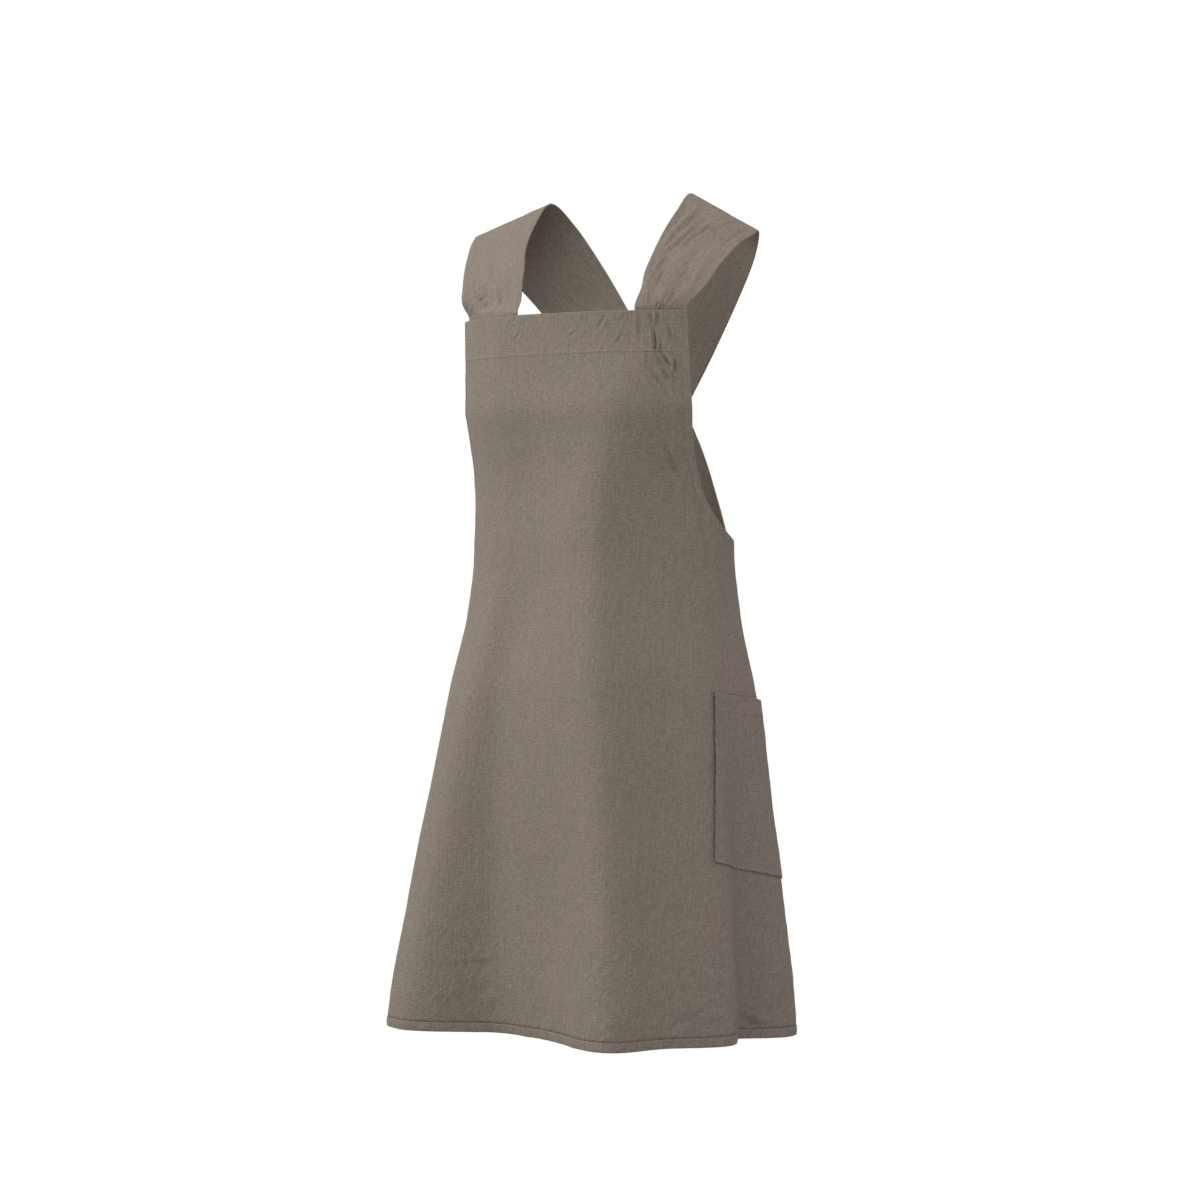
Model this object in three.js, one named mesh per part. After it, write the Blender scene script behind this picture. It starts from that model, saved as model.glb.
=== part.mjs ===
// Cross back apron of washed linen, as it hangs from the shoulders.
// Millimetres, +Z up, the front of the apron towards -Y, the wearer's left towards +X.
// The origin is level with the underside of the straps where they cross the shoulders.
import * as THREE from "three";

// Heights, measured down from the origin.
const LENGTH = 980;
const BIB_TOP = 148;
const UNDERARM = 410;

// Half width and depths to the front and back of the body at three heights.
const CHEST_HALF_WIDTH = 175;
const CHEST_TO_FRONT = 106;
const CHEST_TO_BACK = 118;
const WAIST_HALF_WIDTH = 163;
const WAIST_TO_FRONT = 87;
const WAIST_TO_BACK = 128;
const HEM_HALF_WIDTH = 250;
const HEM_TO_FRONT = 171;
const HEM_TO_BACK = 150;
const CHEST = { side: CHEST_HALF_WIDTH, front: CHEST_TO_FRONT, back: CHEST_TO_BACK };
const WAIST = { side: WAIST_HALF_WIDTH, front: WAIST_TO_FRONT, back: WAIST_TO_BACK };
const HEM = { side: HEM_HALF_WIDTH, front: HEM_TO_FRONT, back: HEM_TO_BACK };

// Cloth, edges and bands.
const CLOTH_WALL = 1.5;
const BAND_HEIGHT = 48;
const BAND_WALL = 3.2;
const EDGE_HEM = 10;
const EDGE_WALL = 2.6;
const BOTTOM_HEM = 11;
const BOTTOM_WALL = 3;
const BACK_GAP_TOP = 60;
const BACK_GAP_HEM = 100;

// Straps.
const STRAP_WIDTH = 90;
const STRAP_WALL = 2;
const SHOULDER = 145;
const STRAP_TAIL = 28;

// Pocket.
const POCKET_TOP = 583;
const POCKET_HEIGHT = 191;
const POCKET_WIDTH = 165;
const POCKET_HEM = 20;
const POCKET_HEM_WALL = 2.2;
const POCKET_GAPE = 2.5;
// How far its front edge lies in front of the side at the mouth, how much further at the foot, how much
// lower the foot hangs at the back edge, and the mouth's share of that.
const POCKET_LEAD = 48;
const POCKET_SWING = 26;
const POCKET_DROOP = 32;
const MOUTH_DROOP = 0.65;

// Clearances between pieces that are sewn edge to edge, that lie on each other, and at the crossing.
const GAP = 0.3;
const SEAT = 0.5;
const LAID = 1.8;
const CROSS_CLEAR = 1.2;

// Level runs from -1 at the top of the bib, through 0 at the underarm, to 1 at the bottom.
// Chest and hem say how much of each size a section takes; the waist gives the rest.
const SECTIONS = [
  { level: -1.0, chest: 1, hem: 0 },
  { level: -0.61, chest: 1, hem: 0 },
  { level: -0.44, chest: 0.5, hem: 0 },
  { level: -0.31, chest: 0.14, hem: 0 },
  { level: -0.18, chest: 0, hem: 0 },
  { level: 0.03, chest: 0, hem: 0.02 },
  { level: 0.14, chest: 0, hem: 0.1 },
  { level: 0.31, chest: 0, hem: 0.36 },
  { level: 0.48, chest: 0, hem: 0.55 },
  { level: 0.74, chest: 0, hem: 0.81 },
  { level: 1.0, chest: 0, hem: 1 },
];

// Hanging folds: the angle from the front at which each lies, how wide it is in degrees, and how far
// it stands out at the bottom, as a share of the half width there. They grow from nothing at the waist.
const FOLDS = [
  { angle: -148, spread: 12, rise: -0.05 },
  { angle: -122, spread: 13, rise: 0.04 },
  { angle: -98, spread: 12, rise: -0.04 },
  { angle: -61, spread: 10, rise: 0.15 },
  { angle: -50, spread: 7, rise: 0.145 },
  { angle: -36, spread: 22, rise: -0.2 },
  { angle: -5, spread: 22.5, rise: -0.147 },
  { angle: 32, spread: 12.6, rise: 0.21 },
  { angle: 84.5, spread: 10, rise: -0.215 },
  { angle: 119, spread: 12, rise: -0.04 },
  { angle: 148, spread: 12, rise: 0.04 },
];
const FOLD_GROWTH = 1.2;

// Ridge that the chest presses into the cloth: its angle, and how far it stands out as a share of
// CHEST_HALF_WIDTH. The crest is as many degrees wide as RIDGE_CREST, and its flanks end RIDGE_FLANK away.
const RIDGE = [
  { level: -1, angle: 58, rise: 0.043 },
  { level: -0.6, angle: 39, rise: 0.136 },
  { level: -0.16, angle: 30, rise: 0.24 },
  { level: 0.13, angle: 27, rise: 0.24 },
  { level: 0.38, angle: 23.5, rise: 0.13 },
  { level: 0.75, angle: 20, rise: 0 },
];
const RIDGE_FLANK = 66;
const RIDGE_CREST = 8;

// Armhole edge: the angle as a share of the way from the bib's corner to the back, and the fall as a
// share of the height from the band to the underarm. The top of the back is level from the last row on.
const ARMHOLE = [
  { turn: 0, fall: 0 },
  { turn: 0.003, fall: 0.15 },
  { turn: 0.011, fall: 0.31 },
  { turn: 0.029, fall: 0.465 },
  { turn: 0.061, fall: 0.62 },
  { turn: 0.11, fall: 0.78 },
  { turn: 0.2, fall: 0.91 },
  { turn: 0.31, fall: 0.975 },
  { turn: 0.45, fall: 1 },
];
// Angles of the bib's corners. It hangs a little towards the wearer's right.
const BIB_CORNER = { left: 67.8, right: 73 };
// The bib's columns spread less than the bib does as they run down, and end closer together at the hem.
const BIB_AT_HEM = 0.84;

// Straps in front of and over the shoulder. x is a share of SHOULDER, y of the chest's depth to the
// front, z of BIB_TOP, width of STRAP_WIDTH. Turn and slope say in degrees how the strap's width lies:
// turned in plan, and falling towards its outer edge.
const LEFT_FRONT = [
  { x: 0.883, y: -0.51, z: 0.81, width: 0.82, turn: 19, slope: 0 },
  { x: 0.897, y: -0.382, z: 0.68, width: 0.93, turn: 17, slope: 0 },
  { x: 0.931, y: -0.179, z: 0.507, width: 1.03, turn: 17, slope: 1 },
  { x: 0.955, y: 0.01, z: 0.378, width: 1.08, turn: 14, slope: 8 },
  { x: 0.98, y: 0.2, z: 0.27, width: 1.14, turn: 6, slope: 18 },
  { x: 0.985, y: 0.4, z: 0.176, width: 1.2, turn: -5, slope: 28 },
];
const RIGHT_FRONT = [
  { x: 0.745, y: -0.64, z: 0.865, width: 0.96, turn: 5, slope: 0 },
  { x: 0.797, y: -0.505, z: 0.723, width: 0.99, turn: 5, slope: 1 },
  { x: 0.862, y: -0.32, z: 0.574, width: 1.04, turn: 8, slope: 0 },
  { x: 0.931, y: -0.118, z: 0.43, width: 1.09, turn: 13, slope: 1 },
  { x: 0.972, y: 0.123, z: 0.26, width: 1.11, turn: 8, slope: 9 },
  { x: 0.985, y: 0.4, z: 0.13, width: 1.15, turn: -5, slope: 20 },
];
const BEHIND_SHOULDER = [
  { x: 0.9, y: 0.76, z: 0.35, width: 1.14, turn: -22, slope: 32 },
  { x: 0.67, y: 0.98, z: 0.7, width: 1.04, turn: -22, slope: 34 },
];
// Straps laid on the back: x is a share of SHOULDER, drop of UNDERARM, lift of the rise over the other.
const ON_BACK = [
  { x: 0.345, drop: 0.427, slope: 34, lift: 1 },
  { x: 0, drop: 0.605, slope: 32, lift: 1 },
  { x: -0.276, drop: 0.776, slope: 30, lift: 1 },
];
const BACK_END = { x: -0.58, slope: 27 };
// Where the straps are sewn behind the band: centre and width in x as shares of SHOULDER and STRAP_WIDTH.
const LEFT_SEWN = { x: 0.862, width: 0.58 };
const RIGHT_SEWN = { x: 0.707, width: 1.07 };
// Gathers where a strap is sewn in: how many ridges lie across it, and how deep they are just above
// the band. They die away up the strap.
const GATHERS = 3;
const GATHER_DEPTH = 2.2;
// Keys of the strap's run at which the gathers start, are deepest and have died away.
const GATHER_START = 3;
const GATHER_TOP = 4;
const GATHER_END = 8;

// How finely the surfaces are drawn.
const BIB_COLUMNS = 28;
const ARMHOLE_COLUMNS = 12;
const BACK_COLUMNS = 11;
const UPPER_ROWS = 8;
const UPPER_ROWS_BELOW = 30;
const SKIRT_ROWS = 12;
const STRAP_COLUMNS = 12;
const STRAP_ROWS = 30;
const POCKET_COLUMNS = 14;
const POCKET_ROWS = 9;
const TURN_STEP = 0.5;
const DROP_STEP = 2;
const EDGE_STEP = 0.004;
const HALVINGS = 24;

const rad = THREE.MathUtils.degToRad;
const deg = THREE.MathUtils.radToDeg;
const mix = THREE.MathUtils.lerp;
const steps = (count) => Array.from({ length: count + 1 }, (_, i) => i / count);

// Reads one column of a table at a place between its rows, on a smooth curve that never overshoots.
function between(rows, place, column, at) {
  const last = rows.length - 1;
  if (at <= rows[0][place]) return rows[0][column];
  if (at >= rows[last][place]) return rows[last][column];
  const rise = (k) => (rows[k + 1][column] - rows[k][column]) / (rows[k + 1][place] - rows[k][place]);
  const slopeAt = (k) => {
    if (k === 0 || k === last) return 0;
    const before = rise(k - 1);
    const after = rise(k);
    return before * after > 0 ? (2 * before * after) / (before + after) : 0;
  };
  const k = rows.findIndex((row) => row[place] > at) - 1;
  const span = rows[k + 1][place] - rows[k][place];
  const t = (at - rows[k][place]) / span;
  const bend = rows[k][column] * (1 + 2 * t) * (1 - t) ** 2 + rows[k + 1][column] * (3 - 2 * t) * t * t;
  return bend + span * t * (1 - t) * (slopeAt(k) * (1 - t) - slopeAt(k + 1) * t);
}

function levelOf(drop) {
  if (drop < UNDERARM) return (drop - UNDERARM) / (UNDERARM - BIB_TOP);
  return (drop - UNDERARM) / (LENGTH - UNDERARM);
}

// Distance of the body from the upright axis, at an angle from the front and a drop from the origin.
function radius(angle, drop) {
  const level = levelOf(drop);
  const chest = between(SECTIONS, "level", "chest", level);
  const hem = between(SECTIONS, "level", "hem", level);
  const size = (name) => CHEST[name] * chest + HEM[name] * hem + WAIST[name] * (1 - chest - hem);
  const depth = Math.cos(rad(angle)) > 0 ? size("front") : size("back");
  const round = 1 / Math.hypot(Math.sin(rad(angle)) / size("side"), Math.cos(rad(angle)) / depth);
  const growth = Math.max(level, 0) ** FOLD_GROWTH;
  const rise = (fold) => fold.rise * Math.exp(-(((angle - fold.angle) / fold.spread) ** 2));
  const folds = HEM.side * growth * FOLDS.reduce((sum, fold) => sum + rise(fold), 0);
  const off = Math.hypot(angle - between(RIDGE, "level", "angle", level), RIDGE_CREST) - RIDGE_CREST;
  const crest = CHEST.side * between(RIDGE, "level", "rise", level);
  return round + folds + crest * Math.max(1 - off / RIDGE_FLANK, 0) ** 2;
}

function onAxis(angle, drop) {
  const r = radius(angle, drop);
  return new THREE.Vector3(r * Math.sin(rad(angle)), -r * Math.cos(rad(angle)), -drop);
}

// A point at a distance outside the body's surface, square to it. It keeps the way that it faces.
function onBody(angle, drop, out = 0) {
  const round = onAxis(angle + TURN_STEP, drop).sub(onAxis(angle - TURN_STEP, drop));
  const down = onAxis(angle, drop + DROP_STEP).sub(onAxis(angle, drop - DROP_STEP));
  const facing = down.cross(round).normalize();
  return Object.assign(onAxis(angle, drop).addScaledVector(facing, out), { facing });
}

// The angle at which the body passes through x, on its front or its back.
function angleAt(x, drop, back) {
  let side = 90;
  let middle = back ? 180 : 0;
  for (let halving = 0; halving < HALVINGS; halving += 1) {
    const angle = (side + middle) / 2;
    const signed = x < 0 ? -angle : angle;
    const reach = radius(signed, drop) * Math.sin(rad(angle));
    if (reach > Math.abs(x)) side = angle;
    else middle = angle;
  }
  return x < 0 ? -side : side;
}

// Edge of the open back at a level: its angle, with an inset along the cloth.
function backEdge(level, inset) {
  const top = angleAt(BACK_GAP_TOP / 2 + inset, UNDERARM, true);
  const bottom = angleAt(BACK_GAP_HEM / 2 + inset, LENGTH, true);
  return mix(top, bottom, level);
}

// Armhole edge and top of the back, from 0 at the band to 1 at the open back, with an inset along the cloth.
const ARMHOLE_SHARE = ARMHOLE_COLUMNS / (ARMHOLE_COLUMNS + BACK_COLUMNS);
const armholeCurve = new THREE.CatmullRomCurve3(
  ARMHOLE.map((row) => new THREE.Vector3(row.turn, row.fall, 0)), false, "centripetal");
function armholeEdge(side, share, inset) {
  const bandFoot = BIB_TOP + BAND_HEIGHT + GAP;
  const corner = side > 0 ? BIB_CORNER.left : BIB_CORNER.right;
  const end = backEdge(0, 0);
  const place = (s) => {
    const curved = Math.min(s / ARMHOLE_SHARE, 1);
    const point = armholeCurve.getPoint(curved);
    const turn = s > ARMHOLE_SHARE ? mix(point.x, 1, (s - ARMHOLE_SHARE) / (1 - ARMHOLE_SHARE)) : point.x;
    return { angle: mix(corner, end, turn), drop: mix(bandFoot, UNDERARM, point.y) };
  };
  const here = place(share);
  const step = EDGE_STEP;
  const before = place(Math.max(share - step, 0));
  const after = place(Math.min(share + step, 1));
  const perDegree = rad(1) * radius(side * here.angle, here.drop);
  const along = (after.angle - before.angle) * perDegree;
  const down = after.drop - before.drop;
  const length = Math.hypot(along, down);
  return {
    angle: here.angle - (inset * down) / length / perDegree,
    drop: Math.max(here.drop + (inset * along) / length, bandFoot),
  };
}

// Closed wall of even thickness round a grid of points, rows by columns. It faces where its points face,
// or square to the grid.
function wallFrom(grid, wall) {
  const rows = grid.length;
  const columns = grid[0].length;
  const clampTo = (value, count) => Math.min(Math.max(value, 0), count - 1);
  const at = (r, c) => grid[clampTo(r, rows)][clampTo(c, columns)];
  const positions = [];
  for (const side of [1, -1]) {
    for (let r = 0; r < rows; r += 1) {
      for (let c = 0; c < columns; c += 1) {
        const across = at(r, c + 1).clone().sub(at(r, c - 1));
        const down = at(r + 1, c).clone().sub(at(r - 1, c));
        const normal = at(r, c).facing || down.cross(across).normalize();
        positions.push(...at(r, c).clone().addScaledVector(normal, (side * wall) / 2).toArray());
      }
    }
  }
  const index = [];
  const vertex = (side, r, c) => side * rows * columns + r * columns + c;
  const quad = (a, b, c, d) => index.push(a, b, c, a, c, d);
  for (let r = 0; r < rows - 1; r += 1) {
    for (let c = 0; c < columns - 1; c += 1) {
      quad(vertex(0, r, c), vertex(0, r + 1, c), vertex(0, r + 1, c + 1), vertex(0, r, c + 1));
      quad(vertex(1, r, c), vertex(1, r, c + 1), vertex(1, r + 1, c + 1), vertex(1, r + 1, c));
    }
  }
  for (let c = 0; c < columns - 1; c += 1) {
    quad(vertex(0, 0, c), vertex(0, 0, c + 1), vertex(1, 0, c + 1), vertex(1, 0, c));
    const foot = rows - 1;
    quad(vertex(0, foot, c), vertex(1, foot, c), vertex(1, foot, c + 1), vertex(0, foot, c + 1));
  }
  for (let r = 0; r < rows - 1; r += 1) {
    quad(vertex(0, r, 0), vertex(1, r, 0), vertex(1, r + 1, 0), vertex(0, r + 1, 0));
    const end = columns - 1;
    quad(vertex(0, r, end), vertex(0, r + 1, end), vertex(1, r + 1, end), vertex(1, r, end));
  }
  const geometry = new THREE.BufferGeometry();
  geometry.setAttribute("position", new THREE.Float32BufferAttribute(positions, 3));
  geometry.setIndex(index);
  geometry.computeVertexNormals();
  return geometry;
}

const linen = { roughness: 0.95, metalness: 0 };
const apron = new THREE.Group();
function addPiece(name, geometry, color) {
  const mesh = new THREE.Mesh(geometry, new THREE.MeshStandardMaterial({ ...linen, color }));
  mesh.name = name;
  apron.add(mesh);
}

// Columns of the body from the wearer's right of the open back round the front to the left of it.
function bodyColumns() {
  const inset = EDGE_HEM + GAP;
  const hemEnd = backEdge(1, inset);
  const flank = (side) => {
    const edge = steps(ARMHOLE_COLUMNS + BACK_COLUMNS).map((share) => armholeEdge(side, share, inset));
    const last = edge.length - 1;
    edge[last].angle = backEdge(0, inset);
    return edge.map((point, i) => ({
      top: side * point.angle,
      hem: side * mix(edge[0].angle * BIB_AT_HEM, hemEnd, i / last),
      drop: point.drop,
      from: Math.min(point.drop, UNDERARM),
    }));
  };
  const left = flank(1);
  const right = flank(-1).reverse();
  const start = right[right.length - 1];
  const bib = steps(BIB_COLUMNS).slice(1, -1).map((share) => {
    return { ...start, top: mix(start.top, left[0].top, share), hem: mix(start.hem, left[0].hem, share) };
  });
  return [...right, ...bib, ...left];
}

function bodyPanel() {
  const foot = LENGTH - BOTTOM_HEM - GAP;
  const columns = bodyColumns();
  const point = (column, drop) => {
    const share = (drop - column.from) / (LENGTH - column.from);
    return onBody(mix(column.top, column.hem, share), drop);
  };
  const upper = steps(UPPER_ROWS).slice(0, -1);
  const waist = UNDERARM + UPPER_ROWS_BELOW;
  const rows = upper.map((share) => columns.map((column) => point(column, mix(column.drop, waist, share))));
  for (const share of steps(SKIRT_ROWS)) {
    rows.push(columns.map((column) => point(column, mix(waist, foot, share))));
  }
  return wallFrom(rows, CLOTH_WALL);
}

function bibBand() {
  const rows = [BIB_TOP, BIB_TOP + BAND_HEIGHT / 2, BIB_TOP + BAND_HEIGHT];
  const angles = steps(BIB_COLUMNS).map((share) => mix(-BIB_CORNER.right, BIB_CORNER.left, share));
  return wallFrom(rows.map((drop) => angles.map((angle) => onBody(angle, drop))), BAND_WALL);
}

function bottomHem() {
  const columns = bodyColumns();
  const end = backEdge(1, 0);
  const angles = [-end, ...columns.map((column) => column.hem), end];
  const rows = [LENGTH - BOTTOM_HEM, LENGTH];
  return wallFrom(rows.map((drop) => angles.map((angle) => onBody(angle, drop))), BOTTOM_WALL);
}

function armholeHem(side) {
  const shares = steps(ARMHOLE_COLUMNS + BACK_COLUMNS);
  const rows = [0, EDGE_HEM].map((inset) => shares.map((share) => armholeEdge(side, share, inset)));
  const points = rows.map((row) => row.map((spot) => onBody(side * spot.angle, spot.drop)));
  if (side < 0) points.forEach((row) => row.reverse());
  return wallFrom(points, EDGE_WALL);
}

function backHem(side) {
  const top = UNDERARM + EDGE_HEM + GAP;
  const foot = LENGTH - BOTTOM_HEM - GAP;
  const rows = steps(SKIRT_ROWS).map((share) => {
    const drop = mix(top, foot, share);
    const pair = [backEdge(levelOf(drop), EDGE_HEM), backEdge(levelOf(drop), 0)];
    return pair.map((angle) => onBody(side * angle, drop));
  });
  if (side < 0) rows.forEach((row) => row.reverse());
  return wallFrom(rows, EDGE_WALL);
}

// One row of points across a strap, laid on the body's surface at a depth under it.
function laidRow(side, row, out, back) {
  return steps(STRAP_COLUMNS).map((share) => {
    const across = (share - 0.5) * row.width * STRAP_WIDTH;
    const x = row.x * SHOULDER + across * Math.cos(rad(row.slope));
    const drop = row.drop + across * Math.sin(rad(row.slope));
    return onBody(angleAt(side * x, drop, back), drop, out);
  });
}

// One row of points across a strap that hangs free.
function freeRow(side, row) {
  const depth = CHEST.front;
  return steps(STRAP_COLUMNS).map((share) => {
    const across = (share - 0.5) * row.width * STRAP_WIDTH;
    const level = across * Math.cos(rad(row.slope));
    const x = row.x * SHOULDER + level * Math.cos(rad(row.turn));
    const y = row.y * depth + level * Math.sin(rad(row.turn));
    return new THREE.Vector3(side * x, y, -row.z * BIB_TOP - across * Math.sin(rad(row.slope)));
  });
}

function strap(side, front, sewn, over) {
  const behindBand = -(BAND_WALL / 2 + SEAT + STRAP_WALL / 2);
  const behindEdge = -(EDGE_WALL / 2 + SEAT + STRAP_WALL / 2);
  const rise = over ? STRAP_WALL + CROSS_CLEAR : 0;
  const bandFoot = BIB_TOP + BAND_HEIGHT - EDGE_HEM / 2;
  const aboveBand = BIB_TOP - EDGE_HEM / 2;
  const keys = [];
  for (const drop of [bandFoot, BIB_TOP + BAND_HEIGHT / 2, BIB_TOP, aboveBand]) {
    keys.push(laidRow(side, { ...sewn, drop, slope: 0 }, behindBand, false));
  }
  for (const row of [...front, ...BEHIND_SHOULDER]) keys.push(freeRow(side, row));
  for (const row of ON_BACK) {
    const spot = { ...row, drop: row.drop * UNDERARM, width: 1 };
    keys.push(laidRow(side, spot, behindEdge + row.lift * rise, true));
  }
  for (const tail of [-STRAP_TAIL, 0, STRAP_TAIL]) {
    const x = BACK_END.x - (tail * Math.tan(rad(BACK_END.slope))) / SHOULDER;
    const spot = { x, drop: UNDERARM + tail, slope: BACK_END.slope, width: 1 };
    keys.push(laidRow(side, spot, behindEdge, true));
  }
  const curves = steps(STRAP_COLUMNS).map((_, c) =>
    new THREE.CatmullRomCurve3(keys.map((row) => row[c]), false, "centripetal"));
  const smooth = THREE.MathUtils.smoothstep;
  const rows = steps(STRAP_ROWS).map((share) => {
    const key = share * (keys.length - 1);
    const puff = smooth(key, GATHER_START, GATHER_TOP) * (1 - smooth(key, GATHER_TOP, GATHER_END));
    return curves.map((curve, c) => {
      const ridge = Math.sin((2 * Math.PI * GATHERS * c) / STRAP_COLUMNS) * GATHER_DEPTH * puff;
      const point = curve.getPoint(share);
      return point.addScaledVector(new THREE.Vector3(point.x, point.y, 0).normalize(), ridge);
    });
  });
  if (side < 0) rows.forEach((row) => row.reverse());
  return wallFrom(rows, STRAP_WALL);
}

// Pocket cloth between two heights, from its front edge backwards, standing off the body at its mouth.
function pocketWall(top, foot, wall, rowCount) {
  const rows = steps(rowCount).map((share) => {
    const down = (mix(top, foot, share) - POCKET_TOP) / POCKET_HEIGHT;
    const level = POCKET_TOP + POCKET_HEIGHT * down;
    const lead = POCKET_LEAD + POCKET_SWING * down;
    let angle = 90 - deg(Math.asin(lead / radius(90, level)));
    return steps(POCKET_COLUMNS).map((across) => {
      const drop = level + POCKET_DROOP * across * mix(MOUTH_DROOP, 1, down ** 2);
      const gape = POCKET_GAPE * Math.sin(Math.PI * across) * (1 - down) ** 2;
      const point = onBody(angle, drop, CLOTH_WALL / 2 + LAID + gape + wall / 2);
      const perDegree = onAxis(angle + 0.5, drop).distanceTo(onAxis(angle - 0.5, drop));
      angle += POCKET_WIDTH / POCKET_COLUMNS / perDegree;
      return point;
    });
  });
  return wallFrom(rows, wall);
}

addPiece("body_panel", bodyPanel(), 0x8d8377);
addPiece("bib_band", bibBand(), 0x91877b);
addPiece("bottom_hem", bottomHem(), 0x948a7e);
addPiece("armhole_hem_left", armholeHem(1), 0x8d8377);
addPiece("armhole_hem_right", armholeHem(-1), 0x8d8377);
addPiece("back_hem_left", backHem(1), 0x8d8377);
addPiece("back_hem_right", backHem(-1), 0x8d8377);
addPiece("strap_left", strap(1, LEFT_FRONT, LEFT_SEWN, true), 0x8f8579);
addPiece("strap_right", strap(-1, RIGHT_FRONT, RIGHT_SEWN, false), 0x8f8579);
const pocketSeam = POCKET_TOP + POCKET_HEM;
const pocketFoot = POCKET_TOP + POCKET_HEIGHT;
addPiece("pocket_hem", pocketWall(POCKET_TOP, pocketSeam, POCKET_HEM_WALL, 2), 0x7d7268);
addPiece("side_pocket", pocketWall(pocketSeam + GAP, pocketFoot, CLOTH_WALL, POCKET_ROWS), 0x7d7268);

export default apron;
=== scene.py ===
"""Looks of the cross back apron: washed linen, its sewing and a plain studio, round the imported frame.

Metres and degrees, +Z up, the front of the apron towards -Y, the wearer's left towards +X.
"""

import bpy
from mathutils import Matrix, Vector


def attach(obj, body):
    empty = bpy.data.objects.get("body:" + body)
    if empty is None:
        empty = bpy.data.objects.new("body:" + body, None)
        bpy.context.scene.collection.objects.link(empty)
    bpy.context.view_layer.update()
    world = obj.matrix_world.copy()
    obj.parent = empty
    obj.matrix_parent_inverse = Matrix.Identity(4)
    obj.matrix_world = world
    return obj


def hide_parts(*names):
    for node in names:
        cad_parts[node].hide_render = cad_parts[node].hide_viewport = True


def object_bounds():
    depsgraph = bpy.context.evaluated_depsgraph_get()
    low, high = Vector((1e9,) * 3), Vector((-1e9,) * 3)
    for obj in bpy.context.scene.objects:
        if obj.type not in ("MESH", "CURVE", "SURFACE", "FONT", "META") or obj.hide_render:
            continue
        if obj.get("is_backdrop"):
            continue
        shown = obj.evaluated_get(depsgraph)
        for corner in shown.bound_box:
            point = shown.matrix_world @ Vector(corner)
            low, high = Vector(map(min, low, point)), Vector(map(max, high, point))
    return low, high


bl_info = {
    "name": "Cross back apron",
    "version": (1, 0, 0),
    "blender": (4, 5, 0),
    "location": "3D View > Sidebar > Apron",
    "description": "Makes a cross back apron of washed linen with its sewing, and a plain studio",
    "category": "Add Mesh",
}

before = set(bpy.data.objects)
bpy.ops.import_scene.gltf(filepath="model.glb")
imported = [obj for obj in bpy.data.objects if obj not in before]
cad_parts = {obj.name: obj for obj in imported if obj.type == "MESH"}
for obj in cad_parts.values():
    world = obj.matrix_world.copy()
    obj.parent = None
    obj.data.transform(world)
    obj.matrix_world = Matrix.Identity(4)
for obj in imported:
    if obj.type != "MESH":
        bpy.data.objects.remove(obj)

import math
from collections import namedtuple

import bpy
import numpy as np

LAID_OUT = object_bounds()
MM = 0.001
# How far cloth runs in under the band or hem that it is sewn to, and how far that stands out over it.
LAP = 0.4 * MM
PROUD = 0.2 * MM
BACK_PROUD = 0.5 * MM

# Level runs from -1 at the top of the bib, through 0 at the underarm, to 1 at the bottom.
# Chest and hem say how much of each size a section takes; the waist gives the rest.
Section = namedtuple("Section", "level chest hem")
SECTIONS = [
    Section(-1.0, 1, 0),
    Section(-0.61, 1, 0),
    Section(-0.44, 0.5, 0),
    Section(-0.31, 0.14, 0),
    Section(-0.18, 0, 0),
    Section(0.03, 0, 0.02),
    Section(0.14, 0, 0.1),
    Section(0.31, 0, 0.36),
    Section(0.48, 0, 0.55),
    Section(0.74, 0, 0.81),
    Section(1.0, 0, 1),
]

# Hanging folds: angle from the front, width in degrees, and how far each stands out at the bottom,
# as a share of the half width there.
Fold = namedtuple("Fold", "angle spread rise")
FOLDS = [
    Fold(-148, 12, -0.05),
    Fold(-122, 13, 0.04),
    Fold(-98, 12, -0.04),
    Fold(-61, 10, 0.15),
    Fold(-50, 7, 0.145),
    Fold(-36, 22, -0.2),
    Fold(-5, 22.5, -0.147),
    Fold(32, 12.6, 0.21),
    Fold(84.5, 10, -0.215),
    Fold(119, 12, -0.04),
    Fold(148, 12, 0.04),
]
# How fast the folds grow towards the bottom.
FOLD_GROWTH = 1.2

# Ridge that the chest presses into the cloth: its angle, and how far it stands out as a share of the
# chest's half width. Both its flanks run nearly flat, die away over as many degrees as the flank says,
# and meet in a crest that is rounded over a few.
Ridge = namedtuple("Ridge", "level angle rise")
RIDGE = [
    Ridge(-1, 58, 0.043),
    Ridge(-0.6, 39, 0.136),
    Ridge(-0.16, 30, 0.24),
    Ridge(0.13, 27, 0.24),
    Ridge(0.38, 23.5, 0.13),
    Ridge(0.75, 20, 0),
]
RIDGE_FLANK = 66
RIDGE_CREST = 8

# The pocket's droop already reached at its mouth, its room off the body, its hem's thickness, how much of
# the body's creases it takes on, and where its weave starts.
MOUTH_DROOP = 0.65
POCKET_ROOM = 0.3 * MM
POCKET_HEM_WALL = 1.35 * MM
POCKET_FOLLOWS = 0.9
POCKET_WEAVE = (2.3, -2.3)

# Armhole edge: turn is the share of the way from the bib's corner to the open back, fall the share of
# the height from the band to the underarm.
Armhole = namedtuple("Armhole", "turn fall")
ARMHOLE = [
    Armhole(0, 0),
    Armhole(0.003, 0.15),
    Armhole(0.011, 0.31),
    Armhole(0.029, 0.465),
    Armhole(0.061, 0.62),
    Armhole(0.11, 0.78),
    Armhole(0.2, 0.91),
    Armhole(0.31, 0.975),
    Armhole(0.45, 1),
]
# Share of the edge's line that the table covers, before it runs straight on to the open back.
ARMHOLE_SHARE = 12 / 23
# Angles of the bib's corners at the wearer's left, 1, and right, -1, and the share of them to which its
# cloth has turned at the hem.
CORNERS = {1: 67.8, -1: 73}
BIB_AT_HEM = 0.84
# Angle at which the gathers of the band begin.
GATHERS = 45

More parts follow.
